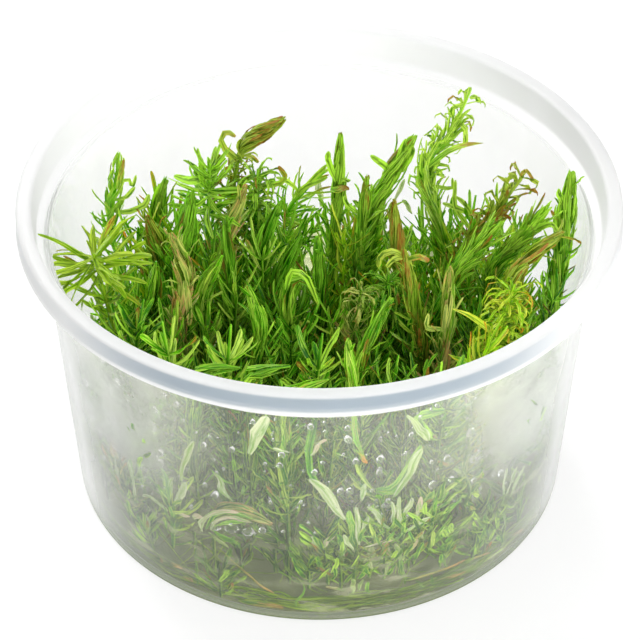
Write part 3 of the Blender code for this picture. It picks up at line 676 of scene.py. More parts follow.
class Growth:
    """Collects the closed shells of one piece, with the values that its material reads."""

    def __init__(self, lowest=GEL_TOP + 0.1 * MM, clearance=WALL_CLEARANCE):
        self.lowest, self.clearance = lowest, clearance
        self.verts, self.faces, self.tones, self.across = [], [], [], []
        self.count = 0

    def add_rings(self, rings, tone, across):
        """Join rings of points into one closed shell. tone: (tint, reach, dryness) of each ring."""
        many, sides = rings.shape[:2]
        self.verts.append(rings.reshape(-1, 3))
        self.tones.append(np.repeat(tone, sides, axis=0))
        self.across.append(np.tile(across, many))
        first = self.count
        for ring in range(many - 1):
            a = first + ring * sides
            for i in range(sides):
                j = (i + 1) % sides
                self.faces.append((a + i, a + j, a + sides + j, a + sides + i))
        self.faces.append(tuple(range(first + sides - 1, first - 1, -1)))
        last = first + (many - 1) * sides
        self.faces.append(tuple(range(last, last + sides)))
        self.count += many * sides

    def build(self, name, material):
        verts = np.concatenate(self.verts)
        mesh = bpy.data.meshes.new(name)
        mesh.from_pydata(verts.tolist(), [], self.faces)
        tone = mesh.attributes.new("tone", "FLOAT_VECTOR", "POINT")
        tone.data.foreach_set("vector", np.concatenate(self.tones).astype(np.float32).ravel())
        across = mesh.attributes.new("across", "FLOAT", "POINT")
        across.data.foreach_set("value", np.concatenate(self.across).astype(np.float32))
        mesh.shade_smooth()
        mesh.set_sharp_from_angle(angle=SHARP_ANGLE)
        mesh.materials.append(material)
        mesh.validate()
        return new_object(name, mesh)


def keep_in_cup(points, lowest, clearance):
    """Push points off the cup's wall and up to the lowest height, as leaves press on a wall."""
    radius = np.hypot(points[..., 0], points[..., 1])
    limit = inner_radius(points[..., 2]) - clearance
    shrink = np.minimum(1.0, limit / np.maximum(radius, 1e-6))
    points[..., 0] *= shrink
    points[..., 1] *= shrink
    points[..., 2] = np.maximum(points[..., 2], lowest)
    return points


def uneven(rng, reach, most):
    """A smooth random swing along a leaf."""
    swings = [rng.uniform(-most, most) for _ in range(SWINGS)]
    return np.interp(reach, np.linspace(0, 1, SWINGS), swings)[:, None]


def leaf_route(points, scale=1.0):
    """The places of a leaf's rings along it, and the smooth curve through its points there."""
    reach = np.array(RING_PLACES)
    route = [np.array(point) * scale for point in points]
    return reach, np.array([smooth_point(route, min(place, CURVE_END)) for place in reach])


def add_blade(growth, middle, across, normal, reach, width, shape, tone, rng, fold):
    """One closed, slightly crumpled leaf blade, folded along its midrib, along a middle line."""
    half = (0.5 * width * np.interp(reach, *SHAPES[shape]))[:, None]
    half = half * (1 + uneven(rng, reach, 0.16))
    thick = LEAF_THICKNESS * np.minimum(1.0, 3.5 * half / width) * 0.5
    middle = middle + across * uneven(rng, reach, CRUMPLE) * reach[:, None]
    wave = 0.25 * half * np.sin(reach * rng.uniform(5, 12) + rng.uniform(0, 6))[:, None]
    rings = np.stack([
        middle - across * half + normal * (fold * half + wave),
        middle - normal * thick,
        middle + across * half + normal * (fold * half - wave),
        middle + normal * thick,
    ], axis=1)
    rings = keep_in_cup(rings, growth.lowest, growth.clearance)
    tint, dry = tone
    values = np.stack([np.full(len(reach), tint), reach, np.full(len(reach), dry)], -1)
    growth.add_rings(rings, values, np.array([-1.0, 0.0, 1.0, 0.0]))


def add_leaf(growth, stem, rng, start, turn, length, width, angles, shape, tone, twist):
    """A leaf whose middle line leaves the stem at start and follows it at changing angles."""
    reach = np.array(RING_PLACES if length > LONG_LEAF else SMALL_RING_PLACES)
    spread = rng.uniform(0.75, 1.3)
    bend = np.interp(reach, (0, 0.45, 1), angles) * spread + rng.uniform(-4, 4) * reach
    angle = np.radians(bend)
    steps = length * np.diff(reach)
    run = start + np.concatenate([[0], np.cumsum(np.cos(angle[:-1]) * steps)])
    risen = np.concatenate([[0], np.cumsum(np.sin(angle[:-1]) * steps)])
    out = rng.uniform(0.15, 0.4) * MM + risen
    if angles[1] < WRAPPED_ANGLE:
        room = stem.length + WRAPPED_OVERSHOOT - run
        out *= np.clip(room / WRAPPED_TAPER, 0.12, 1.0) ** 0.6
    swirl = turn + (twist + rng.uniform(-0.4, 0.4)) * reach
    points, along, side, front = stem.at(run)
    away = side * np.cos(swirl)[:, None] + front * np.sin(swirl)[:, None]
    middle = points + away * out[:, None]
    if angles[1] > OPEN_ANGLE:
        middle[:, 2] -= rng.uniform(0.0, 0.12) * length * reach * reach
    middle = keep_in_cup(middle, growth.lowest, growth.clearance)
    direction = unit(np.gradient(middle, axis=0))
    flat = unit(np.cross(direction, away))
    up = np.cross(flat, direction)
    roll = rng.uniform(-0.6, 0.6) * reach[:, None] + rng.uniform(-0.3, 0.3)
    across = flat * np.cos(roll) + up * np.sin(roll)
    normal = up * np.cos(roll) - flat * np.sin(roll)
    fold = rng.uniform(0.05, 0.85)
    add_blade(growth, middle, across, normal, reach, width, shape, tone, rng, fold)


def add_free_leaf(growth, rng, width, shape, tone, points):
    """A leaf along given points (mm), its flat face mostly up and to the front."""
    reach, middle = leaf_route(points, MM)
    direction = unit(np.gradient(middle, axis=0))
    across = unit(np.cross(direction, np.array([0.15, -0.76, 0.65])))
    normal = np.cross(across, direction)
    fold = rng.uniform(0.1, 0.5)
    add_blade(growth, middle, across, normal, reach, width * MM, shape, tone, rng, fold)


def add_wall_leaf(growth, rng, width, tone, points, inset):
    """A leaf that lies flat on the wall through points (turn in degrees, height in mm)."""
    reach, spots = leaf_route(points)
    turns = np.radians(spots[:, 0] + 0.5 * uneven(rng, reach, 1.0)[:, 0])
    heights = spots[:, 1] * MM
    radii = inner_radius(heights) - inset
    middle = np.stack([radii * np.cos(turns), radii * np.sin(turns), heights], -1)
    outward = np.stack([np.cos(turns), np.sin(turns), np.zeros(len(turns))], -1)
    direction = unit(np.gradient(middle, axis=0))
    across = unit(np.cross(outward, direction))
    add_blade(growth, middle, across, -outward, reach, width * MM, "oblong", tone, rng, 0.1)


def leaf_tone(rng, dry_share):
    """A leaf's tint, from deep to pale, and its dryness. About a quarter of the leaves are pale."""
    dry = rng.uniform(0.7, 1.0) if rng.random() < dry_share else rng.uniform(0.0, 0.35)
    share = rng.random()
    return share ** TINT_BEND + (BRIGHT_LEAF if share > BRIGHT_FROM else 0.0), dry


def add_band(growth, stem, rng, band, dry_share, twist=0.0):
    """The leaves of one band of a habit, node by node up the stem."""
    start, end, nodes, per_node, short, long, width, angles, shape = band
    wrapped = angles[1] < WRAPPED_ANGLE
    for node in range(nodes):
        place = start + (end - start) * (node + rng.uniform(-0.3, 0.3)) / max(nodes - 1, 1)
        distance = min(max(place, 0.0), 1.0) * stem.length
        first = node * GOLDEN_ANGLE + rng.uniform(-0.3, 0.3)
        for number in range(per_node):
            turn = first + 2 * math.pi * number / per_node + rng.uniform(-0.35, 0.35)
            length = rng.uniform(short, long) * MM
            if wrapped:
                room = stem.length - distance + rng.uniform(-0.5, 1.0) * WRAPPED_OVERSHOOT
                length = max(min(length, room), 2 * MM)
            tone = leaf_tone(rng, dry_share)
            wide = width * rng.uniform(0.75, 1.2) * MM
            add_leaf(growth, stem, rng, distance, turn, length, wide,
                     angles, shape, tone, twist if wrapped else 0.0)


def add_tube(growth, points, radii, tone, sides=STEM_SIDES):
    """A closed tapered tube through points."""
    along = unit(np.gradient(points, axis=0))
    side = unit(np.cross(along, np.array([0.31, 0.17, 0.93])))
    front = np.cross(along, side)
    turns = np.linspace(0, 2 * math.pi, sides, endpoint=False)
    cosines, sines = np.cos(turns)[None, :, None], np.sin(turns)[None, :, None]
    circle = side[:, None] * cosines + front[:, None] * sines
    rings = points[:, None] + circle * np.asarray(radii)[:, None, None]
    growth.add_rings(rings, np.tile(tone, (len(points), 1)), np.cos(turns))


def shoot_stem(foot, route, height=GEL_TOP / MM):
    x, y = foot
    points = [np.array([x, y, height]) * MM] + [np.array(point) * MM for point in route]
    return Stem(points)


def add_stem(growth, stem, thick, thin, depth=FOOT_DEPTH - 1.2 * MM):
    """The stem's tube, from a tapered foot in the gel to its tip."""
    places = np.linspace(0, 1, STEM_STEPS)
    points = stem.at(places * stem.length)[0]
    foot = points[0] - np.array([0, 0, depth])
    points = np.concatenate([[foot, 0.5 * (foot + points[0])], points])
    body = np.interp(places, (0, 0.2, 0.8, 1), (0.4, thick, thick, thin))
    radii = np.concatenate([[0.25, 0.35], body]) * MM
    add_tube(growth, points, radii, (0.25, 0.0, 0.1))


def grow_shoot(index, shoot, materials):
    """One detailed shoot in the place of its solid."""
    name, habit, look, foot = shoot[:4]
    rng = random.Random(SHOOT_SEED + index)
    stem = shoot_stem(foot, shoot[4:])
    at_wall = habit in ("pressed", "striped")
    growth = Growth(PLANTLET_LOWEST, PRESSED_CLEARANCE) if at_wall else Growth()
    add_stem(growth, stem, *SHOOT_STEM)
    twist = rng.choice((-TWIST, TWIST))
    for band in HABITS[habit]:
        add_band(growth, stem, rng, band, LOOKS[look][4], twist)
    growth.clearance = PRESSED_CLEARANCE
    for width, shape, tint, dry, *points in EXTRA_LEAVES.get(name, ()):
        add_free_leaf(growth, rng, width, shape, (tint, dry), points)
    piece = growth.build("leafy_" + name, materials[look])
    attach(piece, "root")
    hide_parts(name)
    slot_of(look)


def filler_feet(rng):
    """Places of the short shoots: a loose grid inside the cup, clear at the back."""
    for row in range(-FILLER_ROWS, FILLER_ROWS + 1):
        for column in range(-FILLER_ROWS, FILLER_ROWS + 1):
            x = (column + 0.5 * (row % 2)) * FILLER_STEP + rng.uniform(-1.8, 1.8)
            y = row * FILLER_STEP * 0.87 + rng.uniform(-1.8, 1.8)
            if math.hypot(x, y) < FILLER_REACH and y < FILLER_BACK:
                yield x, y


def build_filler(materials):
    """Short young shoots that fill the bed between the tall ones, in four pieces by look."""
    rng = random.Random(FILLER_SEED)
    looks = ("dark", "green", "bright", "yellow")
    growths = {look: Growth(lowest=FILLER_LOWEST) for look in looks}
    for x, y in filler_feet(rng):
        # Painted shade and painted light: darker looks near the front, lighter ones behind
        look = rng.choice(FILLER_NEAR_LOOKS if y < FILLER_DARK_TO else FILLER_FAR_LOOKS)
        heights = FILLER_NEAR_HEIGHTS if y < FILLER_TALL_TO else FILLER_FAR_HEIGHTS
        top = GEL_TOP / MM + rng.uniform(*heights)
        lean = (x + rng.uniform(-3, 3), y + rng.uniform(-3, 3), top)
        middle = (0.5 * (x + lean[0]), 0.5 * (y + lean[1]), 0.5 * (top + FILLER_FOOT))
        stem = shoot_stem((x, y), (middle, lean), FILLER_FOOT)
        add_stem(growths[look], stem, *FILLER_STEM, 2 * MM)
        for band in HABITS["filler"]:
            add_band(growths[look], stem, rng, band, LOOKS[look][4])
    finish_growths("undergrowth_", growths, materials)


def build_wall_sprigs(materials):
    """Young shoots whose leaves lie flat against the wall, where they touch it."""
    rng = random.Random(SPRIG_SEED)
    looks = ("bright", "green", "tan")
    growths = {look: Growth(SPRIG_LOWEST, PRESSED_CLEARANCE) for look in looks}
    sprigs = list(WALL_SPRIGS)
    for number in range(BACK_SPRIGS):
        turn = BACK_SPRIG_START + number * BACK_SPRIG_SPAN / BACK_SPRIGS + rng.uniform(-4, 4)
        low = rng.uniform(6, 12)
        look = rng.choice(("bright", "green"))
        sprigs.append((look, turn, low, turn + rng.uniform(-4, 4), low + rng.uniform(6, 12)))
    for look, foot_turn, foot, tip_turn, tip in sprigs:
        middle = (0.5 * (foot_turn + tip_turn), 0.5 * (foot + tip))
        ends = []
        for turn, height in ((foot_turn, foot), middle, (tip_turn, tip)):
            radius = float(inner_radius(height * MM)) / MM - SPRIG_INSET
            angle = math.radians(turn)
            ends.append((radius * math.cos(angle), radius * math.sin(angle), height))
        stem = shoot_stem(ends[0][:2], ends[1:], foot)
        add_stem(growths[look], stem, *SPRIG_STEM, 1 * MM)
        for band in HABITS["pressed"]:
            add_band(growths[look], stem, rng, band, LOOKS[look][4])
    finish_growths("wall_sprigs_", growths, materials)


def build_wall_leaves(materials):
    """Leaves that the damp holds flat on the wall; those round the back are scattered. Pale yellow
    strips of painted light along the base are laid in the same way.
    """
    rng = random.Random(WALL_LEAF_SEED)
    leaves = [
        (kind, width, [wall_spot(close_up, mark) for mark in marks])
        for close_up, rows in WALL_LEAVES for kind, width, *marks in rows
    ]
    for _ in range(BACK_WALL_LEAVES):
        turn = rng.uniform(*BACK_WALL_TURNS)
        height = rng.uniform(*BACK_WALL_HEIGHTS)
        kind = rng.choice(("pale", "pale", "bright", "green", "dry"))
        tip = (turn + rng.uniform(-3.5, 3.5), height + rng.uniform(2, 6))
        leaves.append((kind, rng.uniform(0.7, 1.3), ((turn, height), tip)))
    looks = sorted({look for look, _ in WALL_TONES.values()})
    growths = {look: Growth(LOWEST_IN_GEL, PRESSED_CLEARANCE) for look in looks}
    for number, (kind, width, points) in enumerate(leaves):
        look, dry = WALL_TONES[kind]
        depth = 0.12 + 0.09 * (number % 4) + (0.4 if kind in ("green", "bright") else 0.0)
        tone = (rng.uniform(0.35, 1.0), dry)
        add_wall_leaf(growths[look], rng, width, tone, points, depth * MM)
    # The tan piece holds only the pale yellow strips of painted light
    finish_growths("wall_leaves_", growths, materials)


def finish_growths(prefix, growths, materials):
    for look, growth in growths.items():
        piece = growth.build(prefix + look, materials[look])
        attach(piece, "root")
        slot_of(look)


def slot_of(look):
    return {"brown": "leaf_brown", "tan": "leaf_tan", "pale": "leaf_tan", "bright": "leaf_bright",
            "yellow": "leaf_bright", "olive": "leaf_bright"}.get(look, "leaf_green")


def give(tree, node, inputs):
    """Feed a node's inputs, by name or number: with another node's output, or with a value."""
    for label, value in dict(inputs).items():
        socket = node.inputs[label]
        if isinstance(value, bpy.types.NodeSocket):
            tree.links.new(value, socket)
        else:
            socket.default_value = (*value, 1.0) if socket.type == "RGBA" else value


def add_node(tree, kind, inputs=(), **settings):
    node = tree.nodes.new("ShaderNode" + kind)
    for label, value in settings.items():
        setattr(node, label, value)
    give(tree, node, inputs)
    return node


def new_material(name):
    """A material, its node tree and its main shader."""
    material = bpy.data.materials.new(name)
    material.use_nodes = True
    return material, material.node_tree, material.node_tree.nodes["Principled BSDF"]


def new_group(name, inputs, outputs):
    """A shader node group with typed sockets; returns the tree, its input node and output node."""
    tree = bpy.data.node_groups.new(name, "ShaderNodeTree")
    for direction, sockets in (("INPUT", inputs), ("OUTPUT", outputs)):
        for label, kind in sockets:
            tree.interface.new_socket(label, in_out=direction, socket_type=kind)
    return tree, tree.nodes.new("NodeGroupInput"), tree.nodes.new("NodeGroupOutput")


def math_node(tree, operation, *values):
    return add_node(tree, "Math", enumerate(values), operation=operation).outputs[0]


def product(tree, first, *others):
    for other in others:
        first = math_node(tree, "MULTIPLY", first, other)
    return first


def total(tree, first, *others):
    for other in others:
        first = math_node(tree, "ADD", first, other)
    return first


def map_range(tree, value, low, high, to_low=0.0, to_high=1.0):
    """A smooth change from to_low to to_high while the value runs from low to high."""
    inputs = {
        "Value": value, "From Min": low, "From Max": high, "To Min": to_low, "To Max": to_high,
    }
    return add_node(tree, "MapRange", inputs, interpolation_type="SMOOTHSTEP").outputs["Result"]


def noise(tree, vector, scale, detail=3.0, roughness=0.5):
    inputs = {"Vector": vector, "Scale": scale, "Detail": detail, "Roughness": roughness}
    return add_node(tree, "TexNoise", inputs).outputs["Fac"]


def bump(tree, height, strength, distance):
    inputs = {"Height": height, "Strength": strength, "Distance": distance}
    return add_node(tree, "Bump", inputs).outputs["Normal"]


def object_place(tree):
    """The place on the object, whole and as its x, y and z."""
    place = add_node(tree, "TexCoord").outputs["Object"]
    return place, add_node(tree, "SeparateXYZ", {0: place}).outputs


def mix_colours(tree, factor, first, second):
    inputs = {"Factor": factor, "A": first, "B": second}
    return add_node(tree, "Mix", inputs, data_type="RGBA").outputs["Result"]


def lay_colours(tree, colour, layers):
    """Lay colours over one another, each where its mask says."""
    for mask, over in layers:
        colour = mix_colours(tree, mask, colour, over)
    return colour


def mix_shaders(tree, factor, first, second):
    return add_node(tree, "MixShader", {0: factor, 1: first, 2: second}).outputs["Shader"]


def use_surface(tree, surface):
    give(tree, tree.nodes["Material Output"], {"Surface": surface})


def leaf_pattern():
    """Colour and relief of a leaf from its place, its tint, its dryness and streaks along it; painted
    light makes leaves higher up and further back lighter.
    """
    tree, given, result = new_group(
        "leaf_pattern",
        [(label, "NodeSocketColor") for label in LEAF_COLOURS],
        [("Color", "NodeSocketColor"), ("Relief", "NodeSocketFloat")],
    )
    deep, middle, tip, withered = (given.outputs[label] for label in LEAF_COLOURS)
    tone = add_node(tree, "Attribute", attribute_name="tone").outputs["Vector"]
    tint, reach, dry = add_node(tree, "SeparateXYZ", {0: tone}).outputs
    across = add_node(tree, "Attribute", attribute_name="across").outputs["Fac"]
    midrib = math_node(tree, "ABSOLUTE", across)
    place, (_, depth, height) = object_place(tree)

    stretched = [product(tree, *pair) for pair in ((across, 1.8), (reach, 1.6), (tint, 60.0))]
    streak_place = add_node(tree, "CombineXYZ", enumerate(stretched)).outputs[0]
    streaks = noise(tree, streak_place, 1.3, 4.0, 0.6)
    blotches = noise(tree, place, 420.0)
    # Own tint, blotches and lighter tips, plus painted light: leaves higher up and further back get
    # lighter colours
    tint_and_painted_light = total(
        tree, tint, product(tree, blotches, 0.5), product(tree, reach, 0.4),
        map_range(tree, height, 34 * MM, 56 * MM, -0.25, 0.45),
        map_range(tree, depth, -25 * MM, 12 * MM, -0.2, 0.5),
    )
    fresh = lay_colours(tree, deep, (
        (map_range(tree, tint_and_painted_light, 0.25, 0.85), middle),
        (map_range(tree, tint_and_painted_light, 0.85, 1.75), tip),
        (product(tree, map_range(tree, streaks, 0.50, 0.58), 0.75), tip),
        (product(tree, map_range(tree, streaks, 0.38, 0.48, 1.0, 0.0), 0.85), deep),
        # Lighter margins, partly a real pale margin and partly a painted highlight along the edges;
        # darker along the midrib
        (map_range(tree, midrib, 0.6, 1.0, 0.0, 0.5), tip),
        (map_range(tree, midrib, 0.0, 0.35, 0.6, 0.0), deep),
    ))
    dryness = product(tree, dry, total(tree, product(tree, reach, 0.5), 0.6))
    patch = total(tree, dryness, product(tree, streaks, 2.2), product(tree, blotches, 0.3))
    dried = mix_colours(tree, map_range(tree, streaks, 0.58, 0.66), withered, tip)
    give(tree, result, {
        "Color": mix_colours(tree, map_range(tree, patch, 1.98, 2.16), fresh, dried),
        "Relief": total(tree, streaks, product(tree, midrib, 0.3)),
    })
    return tree


def leaf_material(name, look, pattern):
    """Wet green leaf: gloss over the pattern's colour, and some light let through."""
    material, tree, shader = new_material(name)
    group = add_node(tree, "Group", zip(LEAF_COLOURS, look), node_tree=pattern)
    colour = group.outputs["Color"]
    give(tree, shader, {
        "Base Color": colour, "Roughness": LEAF_ROUGHNESS, "Specular IOR Level": LEAF_GLOSS,
        "Normal": bump(tree, group.outputs["Relief"], 0.8, 0.15 * MM),
    })
    through = add_node(tree, "BsdfTranslucent", {"Color": colour}).outputs["BSDF"]
    use_surface(tree, mix_shaders(tree, LIGHT_THROUGH_LEAF, shader.outputs["BSDF"], through))
    return material


def let_light_in(tree, surface):
    """Shadow rays mostly pass the surface, as light does through thin clear plastic and gel."""
    shadow = add_node(tree, "LightPath").outputs["Is Shadow Ray"]
    clear = add_node(tree, "BsdfTransparent", {"Color": SHADOW_COLOUR}).outputs["BSDF"]
    use_surface(tree, mix_shaders(tree, shadow, surface, clear))


def add_haze(tree, colour):
    """Milky scatter: light that is sent back and light that is let through, in equal parts."""
    back, through = (
        add_node(tree, kind, {"Color": colour}).outputs["BSDF"]
        for kind in ("BsdfDiffuse", "BsdfTranslucent")
    )
    return mix_shaders(tree, 0.5, back, through)


def cup_material():
    """Clear plastic: a faint white haze in the wall that turns milky in the thick rolled rim. Painted
    shade darkens the haze on the front wall, on the front of the skirt and over the foot.
    """
    material, tree, shader = new_material("frosted_clear_cup")
    place, (across, depth, height) = object_place(tree)
    rim = map_range(tree, height, LEDGE_HEIGHT - 1.5 * MM, LEDGE_HEIGHT + 1.2 * MM)
    # Painted shade: the cup's lowest band is covered in dark green haze
    foot = map_range(tree, height, 0.2 * MM, 1.8 * MM, 1.0, 0.0)
    give(tree, shader, {
        "Base Color": CUP_CLEAR, "IOR": CUP_IOR, "Transmission Weight": 1.0,
        "Coat Weight": 1.0, "Coat Roughness": CUP_COAT_ROUGHNESS, "Coat IOR": CUP_COAT_IOR,
        "Roughness": math_node(tree, "MULTIPLY_ADD", rim, 0.35, 0.05),
        "Normal": bump(tree, noise(tree, place, 160.0, 1.0), 0.03, 0.1 * MM),
    })
    facing = add_node(tree, "LayerWeight", {"Blend": 0.3}).outputs["Facing"]
    amount = product(
        tree, map_range(tree, noise(tree, place, 60.0, 4.0), 0.3, 0.75, *WALL_HAZE),
        map_range(tree, height, 14 * MM, 19 * MM, LOW_WALL_HAZE, 1.0),
    )
    grazing = product(tree, facing, facing)
    for mask, share in ((grazing, GRAZING_HAZE), (rim, RIM_HAZE), (foot, FOOT_PAINTED_SHADE_SHARE)):
        amount = math_node(tree, "MULTIPLY_ADD", mask, share, amount)
    amount = math_node(tree, "MINIMUM", amount, 1.0)
    # Painted shade: the skirt under the rim turns grey-blue, mostly on the front
    squared = math_node(tree, "MULTIPLY_ADD", depth, depth, product(tree, across, across))
    skirt_painted_shade = product(
        tree, map_range(tree, math_node(tree, "SQRT", squared), 48.7 * MM, 49.2 * MM),
        map_range(tree, height, 56.7 * MM, 57.1 * MM, 1.0, 0.0),
        map_range(tree, height, 53.9 * MM, 54.5 * MM),
        map_range(tree, depth, -28 * MM, -47 * MM, 0.1, 1.0),
    )
    # Painted shade: the haze turns darker and yellower towards the front wall
    near = map_range(tree, depth, -28 * MM, -40 * MM)
    layers = ((near, FRONT_VEIL_PAINTED_SHADE), (rim, MILKY_RIM), (skirt_painted_shade, SKIRT_PAINTED_SHADE), (foot, FOOT_PAINTED_SHADE))
    haze = add_haze(tree, lay_colours(tree, VEILED_BACK, layers))
    let_light_in(tree, mix_shaders(tree, amount, shader.outputs["BSDF"], haze))
    return material


def clear_material(name, colour, ior, roughness, bump_scale, cloud=0.0):
    """A see-through wet material, such as gel or a drop, with clouds up to a given share: partly real
    cloudiness, coloured from dark green painted shade to pale yellow painted light.
    """
    material, tree, shader = new_material(name)
    place = add_node(tree, "TexCoord").outputs["Object"]
    give(tree, shader, {
        "Base Color": colour, "Roughness": roughness, "IOR": ior, "Transmission Weight": 1.0,
        "Normal": bump(tree, noise(tree, place, bump_scale, 2.0), 0.15, 0.3 * MM),
    })
    stretch = {"Vector": place, "Scale": (1.0, 1.0, 3.0)}
    stretched = add_node(tree, "Mapping", stretch).outputs["Vector"]
    wisps = noise(tree, stretched, 70.0, 5.0, 0.65)
    clouds = map_range(tree, wisps, 0.42, 0.62, 0.04 * cloud, cloud)
    # Painted shade and painted light: the clouds run from dark green to pale yellow streaks
    tone = map_range(tree, noise(tree, stretched, 160.0), 0.45, 0.62)
    haze = add_haze(tree, mix_colours(tree, tone, CLOUD_PAINTED_SHADE, CLOUD_PAINTED_LIGHT))
    let_light_in(tree, mix_shaders(tree, clouds, shader.outputs["BSDF"], haze))
    return material


def rounded(profile):
    """Bend each corner that has a radius. profile: (radius, height, bend) points."""
    points = []
    for index, (radius, height, bend) in enumerate(profile):
        corner = Vector((radius, height))
        if not bend:
            points.append(corner)
            continue
        before = Vector(profile[index - 1][:2]) - corner
        after = Vector(profile[index + 1][:2]) - corner
        reach = min(bend, BEND_ROOM * before.length, BEND_ROOM * after.length)
        start, end = corner + before.normalized() * reach, corner + after.normalized() * reach
        for step in range(BEND_STEPS + 1):
            t = step / BEND_STEPS
            points.append(start * (1 - t) ** 2 + corner * 2 * t * (1 - t) + end * t * t)
    return points


def turned(name, profile, material):
    """A smooth body turned about Z from its rounded outline."""
    mesh = bpy.data.meshes.new(name)
    points = [(point.x, 0.0, point.y) for point in rounded(profile)]
    mesh.from_pydata(points, [(i, i + 1) for i in range(len(points) - 1)], [])
    obj = new_object(name, mesh)
    screw = obj.modifiers.new("Turn", "SCREW")
    screw.steps = ROUND_STEPS
    screw.render_steps = ROUND_STEPS
    screw.use_merge_vertices = True
    screw.merge_threshold = MERGE_DISTANCE
    bpy.context.view_layer.update()
    depsgraph = bpy.context.evaluated_depsgraph_get()
    solid = bpy.data.meshes.new_from_object(obj.evaluated_get(depsgraph))
    obj.modifiers.clear()
    obj.data = solid
    solid.shade_smooth()
    solid.set_sharp_from_angle(angle=BODY_SHARP_ANGLE)
    solid.materials.clear()
    solid.materials.append(material)
    return obj


def cup_profile():
    """From the middle of the inner floor, up inside, over the rim and down to the underside."""
    inner_bottom = WALL_BOTTOM_RADIUS - WALL_THICKNESS
    inner_top = WALL_TOP_RADIUS - WALL_THICKNESS
    skirt_bottom = CUP_HEIGHT - SKIRT_DROP
    return [
        (0.0, FLOOR_THICKNESS, 0),
        (inner_bottom - 0.1 * BASE_CORNER, FLOOR_THICKNESS, BASE_CORNER),
        (inner_top, LEDGE_HEIGHT, 0.5 * MM),
        (LEDGE_RADIUS, LEDGE_HEIGHT + LEDGE_RISE, 0.5 * MM),
        (RIM_RADIUS - 2.6 * MM, CUP_HEIGHT, 0.7 * MM),
        (RIM_RADIUS, CUP_HEIGHT, 0.7 * MM),
        (RIM_RADIUS + 0.05 * MM, skirt_bottom + 1.0 * MM, 0.2 * MM),
        (RIM_RADIUS + 0.2 * MM, skirt_bottom, 0.3 * MM),
        (RIM_RADIUS - 0.8 * MM, skirt_bottom, 0.3 * MM),
        (RIM_RADIUS - 1.0 * MM, CUP_HEIGHT - 1.1 * MM, 0.4 * MM),
        (RIM_RADIUS - 2.0 * MM, CUP_HEIGHT - 1.1 * MM, 0.3 * MM),
        (LEDGE_RADIUS + WALL_THICKNESS, LEDGE_HEIGHT - 0.4 * MM, 0.4 * MM),
        (WALL_TOP_RADIUS, LEDGE_HEIGHT - 0.9 * MM, 0.4 * MM),
        (WALL_BOTTOM_RADIUS - 0.1 * MM, 0.0, BASE_CORNER),
        (0.0, 0.0, 0),
    ]


def build_cup():
    cup = turned("frosted_cup", cup_profile(), cup_material())
    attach(cup, "root")
    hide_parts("cup")


def build_gel():
    """Clear gel that fills the cup's bottom, with a low rise where it meets the wall."""
    corner = float(inner_radius(FLOOR_THICKNESS + BASE_CORNER)) - GEL_GAP
    top = float(inner_radius(GEL_TOP)) - GEL_GAP
    profile = [
        (0.0, GEL_TOP - GEL_DIP, 0),
        (top - 1.6 * MM, GEL_TOP - GEL_DIP, 1.0 * MM),
        (top, GEL_TOP + GEL_RISE, 0),
        (corner - 0.1 * BASE_CORNER, FLOOR_THICKNESS + GEL_GAP, BASE_CORNER),
        (0.0, FLOOR_THICKNESS + GEL_GAP, 0),
    ]
    material = clear_material(
        "clear_culture_gel", GEL_CLEAR, GEL_IOR, GEL_ROUGHNESS, 130.0, GEL_CLOUDS)
    gel = turned("clear_gel_disc", profile, material)
    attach(gel, "root")
    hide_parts("culture_gel")


def fog_material():
    """Condensation: a thin white veil that is thick in patches and nearly gone in others."""
    material, tree, shader = new_material("condensation_fog")
    tree.nodes.remove(shader)
    place, (across, depth, height) = object_place(tree)
    clouds = noise(tree, place, 55.0, 4.0, 0.55)
    specks = noise(tree, place, 1400.0, 2.0, 0.7)
    mottled = total(tree, clouds, product(tree, specks, 0.25))
    veil = product(
        tree, map_range(tree, mottled, 0.42, 0.82, FOG_THIN, FOG_THICK),
        map_range(tree, depth, 10 * MM, -18 * MM, 0.1, 1.0),
        map_range(tree, height, 18 * MM, 32 * MM),
        map_range(tree, math_node(tree, "ABSOLUTE", across), 14 * MM, 40 * MM, 0.5, 4.8),
    )
    veil = math_node(tree, "MINIMUM", veil, FOG_MOST)
    clear = add_node(tree, "BsdfTransparent").outputs["BSDF"]
    haze = add_haze(tree, mix_colours(tree, clouds, *FOG_COLOURS))
    use_surface(tree, mix_shaders(tree, veil, clear, haze))
    return material


def build_fog():
    """A thin closed skin of condensation inside the wall; leaves on the wall stand through it."""
    low, high = GEL_TOP + FOG_MARGIN, LEDGE_HEIGHT - FOG_MARGIN
    near_low, near_high = float(inner_radius(low)) - FOG_GAP, float(inner_radius(high)) - FOG_GAP
    profile = [
        (near_low - FOG_SKIN, low, 0),
        (near_high - FOG_SKIN, high, 0),
        (near_high, high, 0),
        (near_low, low, 0),
        (near_low - FOG_SKIN, low, 0),
    ]
    fog = turned("wall_fog", profile, fog_material())
    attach(fog, "root")


def add_drop(bm, turn, height, size, tall, lean):
    """One flattened drop on the wall; size is half its width and tall half its height."""
    fineness = 3 if size > FINE_DROP else 2
    made = bmesh.ops.create_icosphere(bm, subdivisions=fineness, radius=1.0)
    flat = DROP_FLATNESS * size
    radius = float(inner_radius(height)) - flat - DROP_GAP
    outward = Vector((math.cos(turn), math.sin(turn), 0.0))
    along = Vector((-math.sin(turn), math.cos(turn), 0.0))
    for vert in made["verts"]:
        sway = (vert.co.y * size + lean * vert.co.z * tall) * (1.0 - 0.25 * vert.co.z)
        up = Vector((0, 0, height + vert.co.z * tall))
        vert.co = outward * (radius + vert.co.x * flat) + along * sway + up


